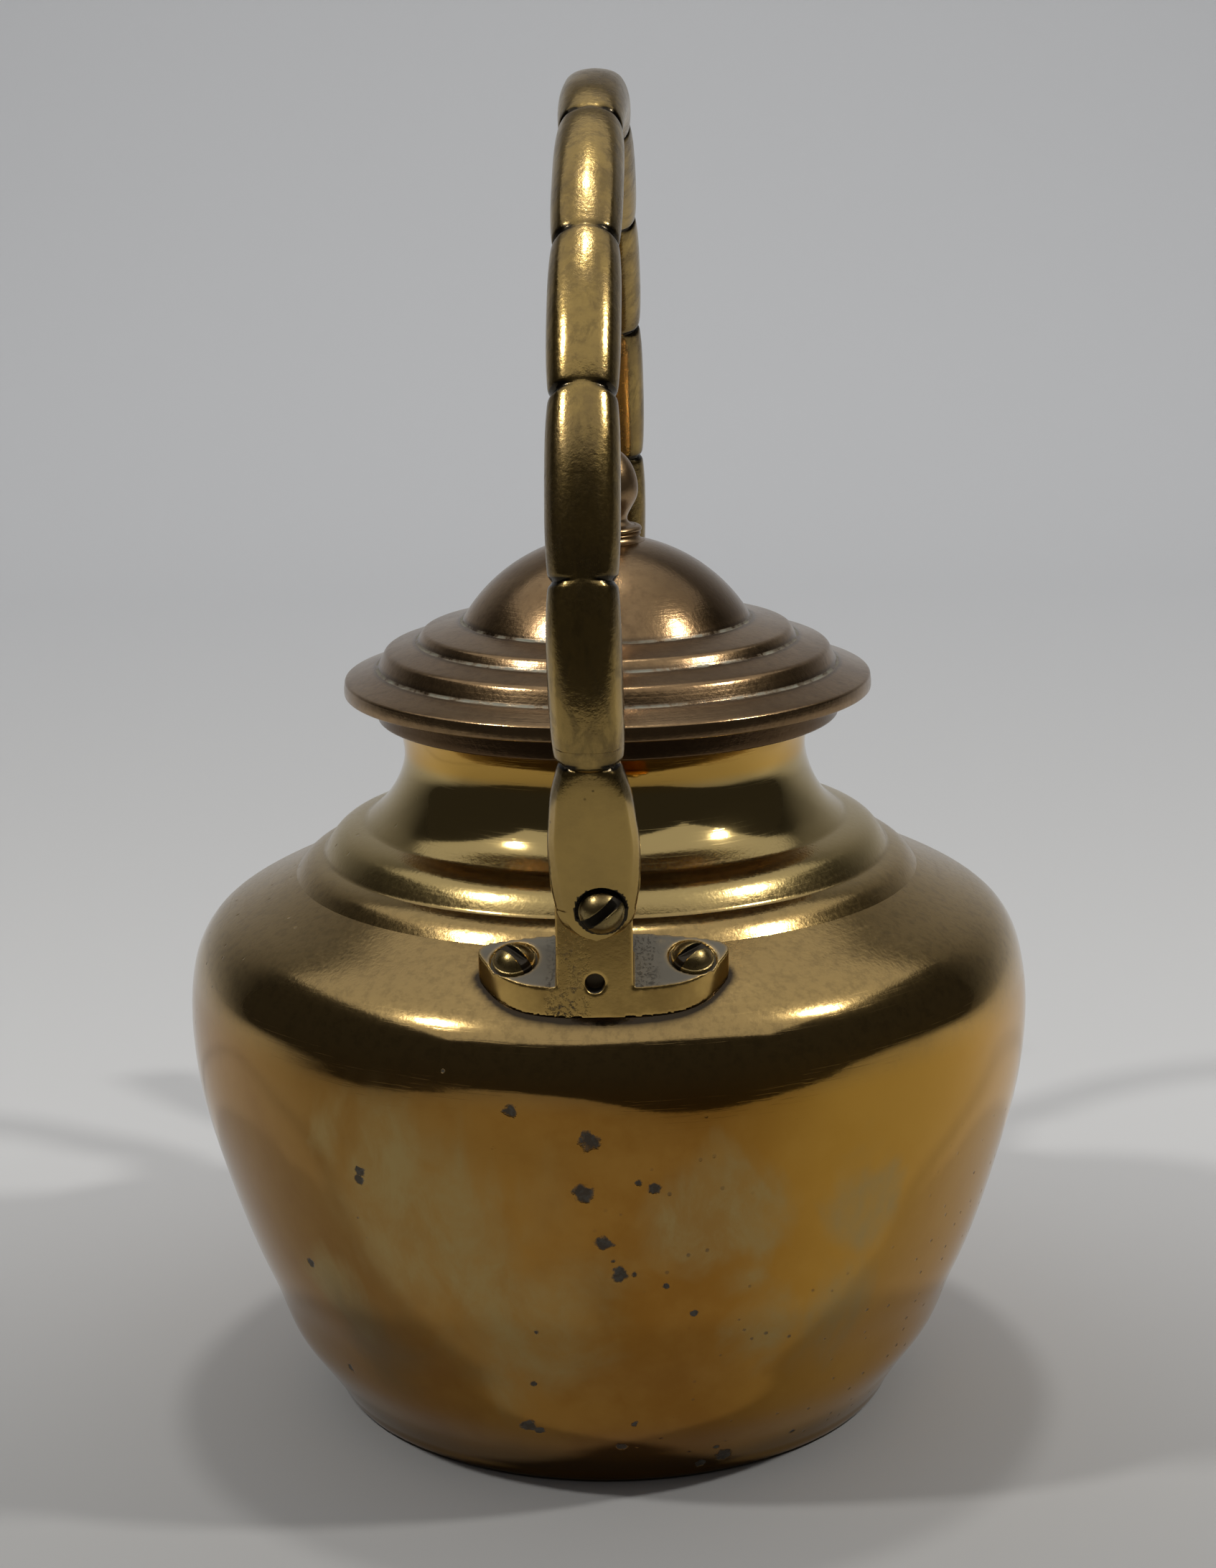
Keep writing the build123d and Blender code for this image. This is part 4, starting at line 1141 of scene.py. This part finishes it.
def pot_clouds(f):
    """The dull clouds with swirling outlines, those on the far side, and one dark patch, a painted reflection
    of the shadow on the table.
    """
    swirl = f.noise(38.0, 4.0, 0.55, 0.9, f.stretched((1.0, 1.0, 0.55), (0.0, 0.5, 0.0))) * 0.044 - 0.022
    near = largest((f.distance(near_side(x, z)) + swirl).between(r * 0.0013, r * 0.0004)
                   for x, z, r in CLOUDS)
    far = f.noise(19.0, 3.0, 0.5, 0.8).between(0.56, 0.68) * f.y.between(-0.02, 0.03)
    haze = f.noise(110.0, 5.0, 0.7, 0.4, f.stretched((1.0, 1.0, 0.6), (0.0, 0.6, 0.0)))
    shadow_reflection = (f.distance(near_side(*TABLE_SHADOW_REFLECTION)) + swirl).between(0.017, 0.003)
    return near.larger(far) * (haze.between(0.34, 0.66) * 0.6 + 0.4) * (f.fine * 0.5 + 0.65), shadow_reflection


def pot_finish():
    """Orange-brown wall, paler satin shoulder and bright neck, under clouds, dirt and pits. Painted shade
    darkens the foot, the lines along the plates' edges and the near side's left, painted light brightens its
    right, and one patch is a painted reflection of the table's shadow.
    """
    f = Finish("pot_brass_finish")
    f.tarnish((0.44, 0.224, 0.045), (0.355, 0.160, 0.025), 17.0, 0.9, 2.2, 2.2)
    clouds, shadow_reflection = pot_clouds(f)
    pits, marks = pot_marks(f)
    lines = (scratches(f, (0.5, 0.2, 0.3), (60.0, 60.0, 2600.0)) * 0.5
             + scratches(f, (0.1, 0.9, 1.1), (70.0, 70.0, 3200.0)) * 0.4)
    front = f.y.between(0.02, -0.02) * 0.5
    shoulder = f.z.between(0.0805, 0.0925)
    sand = f.noise(520.0, 4.0, 0.75).between(0.44, 0.66) * shoulder * (1 - f.z.between(0.110, 0.114))
    # Painted shade: the wall is darkened along its foot, standing in for the mirrored shadow where the pot
    # meets the table.
    foot = (f.z + f.noise(22.0, 3.0) * 0.012 - 0.006).between(0.0105, 0.0035)
    grey = f.noise(900.0, 2.0).between(0.45, 0.6) * pits
    # Painted shade and painted light: the near side is darkened towards the left and made a brighter orange
    # towards the right, standing in for the darker and brighter surroundings that the wall mirrors there.
    f.cover(f.x.between(-0.012, -0.06) * front, (0.27, 0.165, 0.052))
    f.cover(f.x.between(0.012, 0.045) * front, (0.76, 0.43, 0.065))
    f.cover(shoulder * 0.85, (0.46, 0.325, 0.135))
    f.cover(sand * 0.42, (0.24, 0.165, 0.07))
    f.cover(f.z.between(0.106, 0.112), (0.52, 0.385, 0.155))
    f.cover(f.z.between(0.1265, 0.1295), (0.60, 0.36, 0.08))
    f.cover(clouds * 0.95, (0.43, 0.312, 0.122))
    # Painted reflection: the dark patch where the wall mirrors the table's shadow.
    f.cover(shadow_reflection * 0.6, (0.19, 0.132, 0.052))
    f.cover(foot * 0.65, (0.13, 0.082, 0.030))
    # The corners' dirt, with the painted shadow along the plates' edges that the same measure holds.
    f.cover(f.corners, (0.055, 0.042, 0.028))
    f.cover(marks * 0.92, (0.045, 0.040, 0.032))
    f.cover(grey * 0.45, (0.12, 0.115, 0.095))
    satin = f.z.between(0.092, 0.099) * f.z.between(0.119, 0.114)
    grain = f.noise(1300.0, 2.0, 0.6) * satin
    dull = clouds * 0.13 + grain * 0.16 + satin * 0.03 + marks * 0.4
    roughness = 0.07 + dull + f.fine * 0.03 + lines * 0.05
    height = f.fine * 0.22 - marks * 1.8 - lines * 0.04 + grain * 0.30
    return f.wear(roughness, height, 0.35, 0.00025, metallic=1 - marks * 0.6)


# %% [markdown]
# ## The lid's bronze
# Lid and knob are browner than the pot. The lathe left fine rings, which a noise gives when it is
# read along the radius, and polish has dried to a pale crust in the corners of the steps.

# %% Finish of the lid and the knob
LID_CORNERS = [LID_STEPS[6], LID_STEPS[8], DOME_FOOT]


def lid_finish(name, satin):
    """Brown bronze with the lathe's rings, pale residue in the steps' corners, the low ring under the rim
    painted darker as painted shade, and the dome's right side painted darker as painted shade against the
    right lamp's bright reflection.
    """
    f = Finish(name)
    f.tarnish((0.36, 0.235, 0.118), (0.25, 0.157, 0.078), 45.0, 0.7, 2.5, 1.6)
    radius = ((f.x - LID_PLAY * MM) ** 2 + f.y ** 2) ** 0.5
    rings = f.node("ShaderNodeCombineXYZ", {}, {0: radius * 5200.0, 1: f.z * 900.0, 2: 0.0}).outputs[0]
    turning = f.noise(1.0, 3.0, 0.6, 0.0, rings)
    grain = f.noise(1300.0, 2.0, 0.6)
    gap = None
    for r, z in LID_CORNERS:
        to_corner = ((radius - r * MM) ** 2 + (f.z - z * MM) ** 2) ** 0.5
        gap = to_corner if gap is None else gap.smaller(to_corner)
    residue = gap.between(0.00055, 0.0002) * f.noise(160.0, 4.0, 0.7).between(0.38, 0.60)
    # Painted shade: the dome's right front is darkened, mottled by the slow noise, to tone down the right
    # lamp's broad reflection.
    painted_shade_side = f.x.between(0.002, 0.016) * f.z.between(0.1525, 0.1550) * f.y.between(0.010, -0.010)
    f.cover(f.corners * 0.8, (0.07, 0.05, 0.035))
    f.cover(gap.between(0.0014, 0.0005) * 0.6, (0.10, 0.07, 0.045))
    f.cover(residue * 0.75, (0.22, 0.235, 0.19))
    # Painted shade: the low ring under the rim is darkened, as it lies in the rim's shade.
    f.cover(f.z.between(0.1402, 0.1388), (0.14, 0.085, 0.042))
    f.cover(painted_shade_side * (f.slow * 0.5 + 0.45), (0.11, 0.066, 0.030))
    f.cover(f.noise(600.0, 4.0, 0.75).between(0.46, 0.66) * 0.35, (0.16, 0.10, 0.052))
    roughness = satin + 0.145 + f.patches * 0.05 + grain * 0.10 + residue * 0.4
    height = turning * 0.6 + f.fine * 0.3 + grain * 0.7
    return f.wear(roughness, height, 0.3, 0.00013, metallic=1 - residue * 0.7)


# %% [markdown]
# ## The handle's brass
# The cane is mottled, as a casting is where hands have rubbed it for years, and its flat ends are
# brighter. The mottles are a noise drawn out along the cane, taken back where edges rub.

# %% Finish of the handle
def handle_finish():
    """Mottled along the cane, brighter with a few freckles on the flat ends, dark in the notches with dirt
    and painted shade, and with painted shade on the leaf's upper corners and in the pockets.
    """
    f = Finish("handle_brass_finish")
    f.tarnish((0.43, 0.295, 0.10), (0.24, 0.165, 0.07), 48.0, 0.85, 3.0, 2.0)
    grain = f.noise(1500.0, 2.0, 0.65)
    leaf = f.z.between(0.1465, 0.1395)
    mottles = f.noise(1.0, 5.0, 0.68, 0.5, f.stretched((330.0, 330.0, 150.0), (0.2, 0.0, 0.0)))
    streaks = mottles.between(0.46, 0.62) * (1 - f.edges) * (1 - leaf)
    freckles = f.cells(520.0).between(0.16, 0.08) * f.noise(60.0, 2.0).between(0.52, 0.64) * leaf
    f.cover(streaks * 0.48, (0.14, 0.10, 0.046))
    f.cover(leaf * 0.65, (0.49, 0.33, 0.10))
    f.cover(freckles * 0.7, (0.07, 0.048, 0.025))
    # Dirt in corners, and the dirt and painted shade of the notches, the leaf's upper corners and the pockets
    # that the same measure holds.
    f.cover(f.corners, (0.035, 0.028, 0.018))
    roughness = 0.10 + f.patches * 0.07 + grain * 0.16 + streaks * 0.05
    height = f.noise(420.0, 3.0, 0.6) * 0.5 + f.fine * 0.3 + grain * 0.35
    return f.wear(roughness, height, 0.5, 0.00018)


# %% [markdown]
# ## The brackets' and the screws' brass
# The brackets are the palest metal here. Grey oxide lies on the plates' tops, where no cloth gets
# in, so the finish needs to know which way a point faces and how far it is from the middle.

# %% Finish of the brackets, the screws and the inside
POST_SHIFT, HOLE_HEIGHT = 1.4, 103.1


def bracket_finish():
    """Bright cast sides, grey oxide on the plate's top, stains on and beside the post, and a dark
    plug in its hole. The front bracket is the rear one turned round, so its signs change with y."""
    f = Finish("bracket_brass_finish")
    f.tarnish((0.70, 0.46, 0.14), (0.52, 0.33, 0.10), 60.0, 0.8, 2.4, 2.2)
    off_middle = (f.x ** 2) ** 0.5
    top = f.measure("facing_up") * f.z.between(0.1105, 0.1085)
    oxide = (f.noise(160.0, 4.0, 0.6) * 0.5 + 0.45).between(0.36, 0.66) * top * (1 - f.edges)
    left_side = (f.x * f.y.between(-0.02, 0.02, 1.0, -1.0)).between(-0.0015, -0.0060)
    stain = f.noise(95.0, 3.0, 0.6).between(0.40, 0.58) * left_side * off_middle.between(0.0105, 0.0085)
    grain = f.noise(1500.0, 3.0, 0.7).between(0.50, 0.62)
    beside_post = off_middle.between(0.0105, 0.0078) * top * grain
    from_hole = ((f.x - f.y.between(-0.02, 0.02, -1.0, 1.0) * (POST_SHIFT * MM)) ** 2
                 + (f.z - HOLE_HEIGHT * MM) ** 2) ** 0.5
    plug = from_hole.between(0.0019, 0.0016) * off_middle.between(0.0060, 0.0050)
    dark = (grain * stain * 0.9).larger(beside_post * 0.6).larger(plug * 0.85)
    f.cover(oxide * 0.97, (0.078, 0.074, 0.060))
    f.cover(f.corners.larger(dark), (0.035, 0.032, 0.028))
    roughness = 0.17 + f.patches * 0.10 + oxide * 0.35 + dark * 0.3
    height = f.fine * 0.12 - dark * 0.8 + oxide * 0.3
    return f.wear(roughness, height, 0.5, 0.0002, metallic=1 - (oxide * 0.6).larger(dark * 0.7))


def screw_finish():
    """Turned brass with small dull patches and black dirt in the slots."""
    f = Finish("screw_brass_finish")
    f.tarnish((0.30, 0.22, 0.085), (0.18, 0.13, 0.06), 300.0, 0.7, 3.0, 1.0)
    f.cover(f.corners, (0.032, 0.027, 0.020))
    return f.wear(0.20 + f.patches * 0.16 + f.fine * 0.08 + f.corners * 0.3, f.fine, 0.3, 0.00008)


def inner_finish():
    """Dull unpolished brass for what lies inside."""
    f = Finish("inner_brass_finish")
    stain = f.noise(60.0, 4.0).between(0.4, 0.6)
    f.colour = f.blend(stain, (0.52, 0.38, 0.18), (0.30, 0.21, 0.11))
    return f.wear(0.35 + stain * 0.15, f.noise(500.0, 3.0), 0.3, 0.0001)


# %% [markdown]
# Each finish goes on its pieces. The parts inside the pot and under the lid keep the drawing's own
# meshes, because they hardly ever show, and get the dull brass.

# %% Put the finishes on
FINISHES = {"pot": pot_finish(), "lid": lid_finish("lid_bronze_finish", 0.0),
            "knob": lid_finish("knob_bronze_finish", 0.10), "handle": handle_finish(),
            "bracket": bracket_finish(), "screw": screw_finish(), "inner": inner_finish()}
painted = {"pot": [pot_wall, neck, spout], "lid": [lid], "knob": [knob], "handle": [handle],
           "bracket": castings, "screw": screws}
for finish, pieces in painted.items():
    for piece in pieces:
        piece.data.materials.clear()
        piece.data.materials.append(FINISHES[finish])
for node in ("base_disc", "rear_bracket_nuts", "front_bracket_nuts", "lid_skirt", "finial_washer",
             "finial_nut"):
    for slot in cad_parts[node].material_slots:
        slot.material = FINISHES["inner"]
print("finishes", [m.name for m in FINISHES.values()])
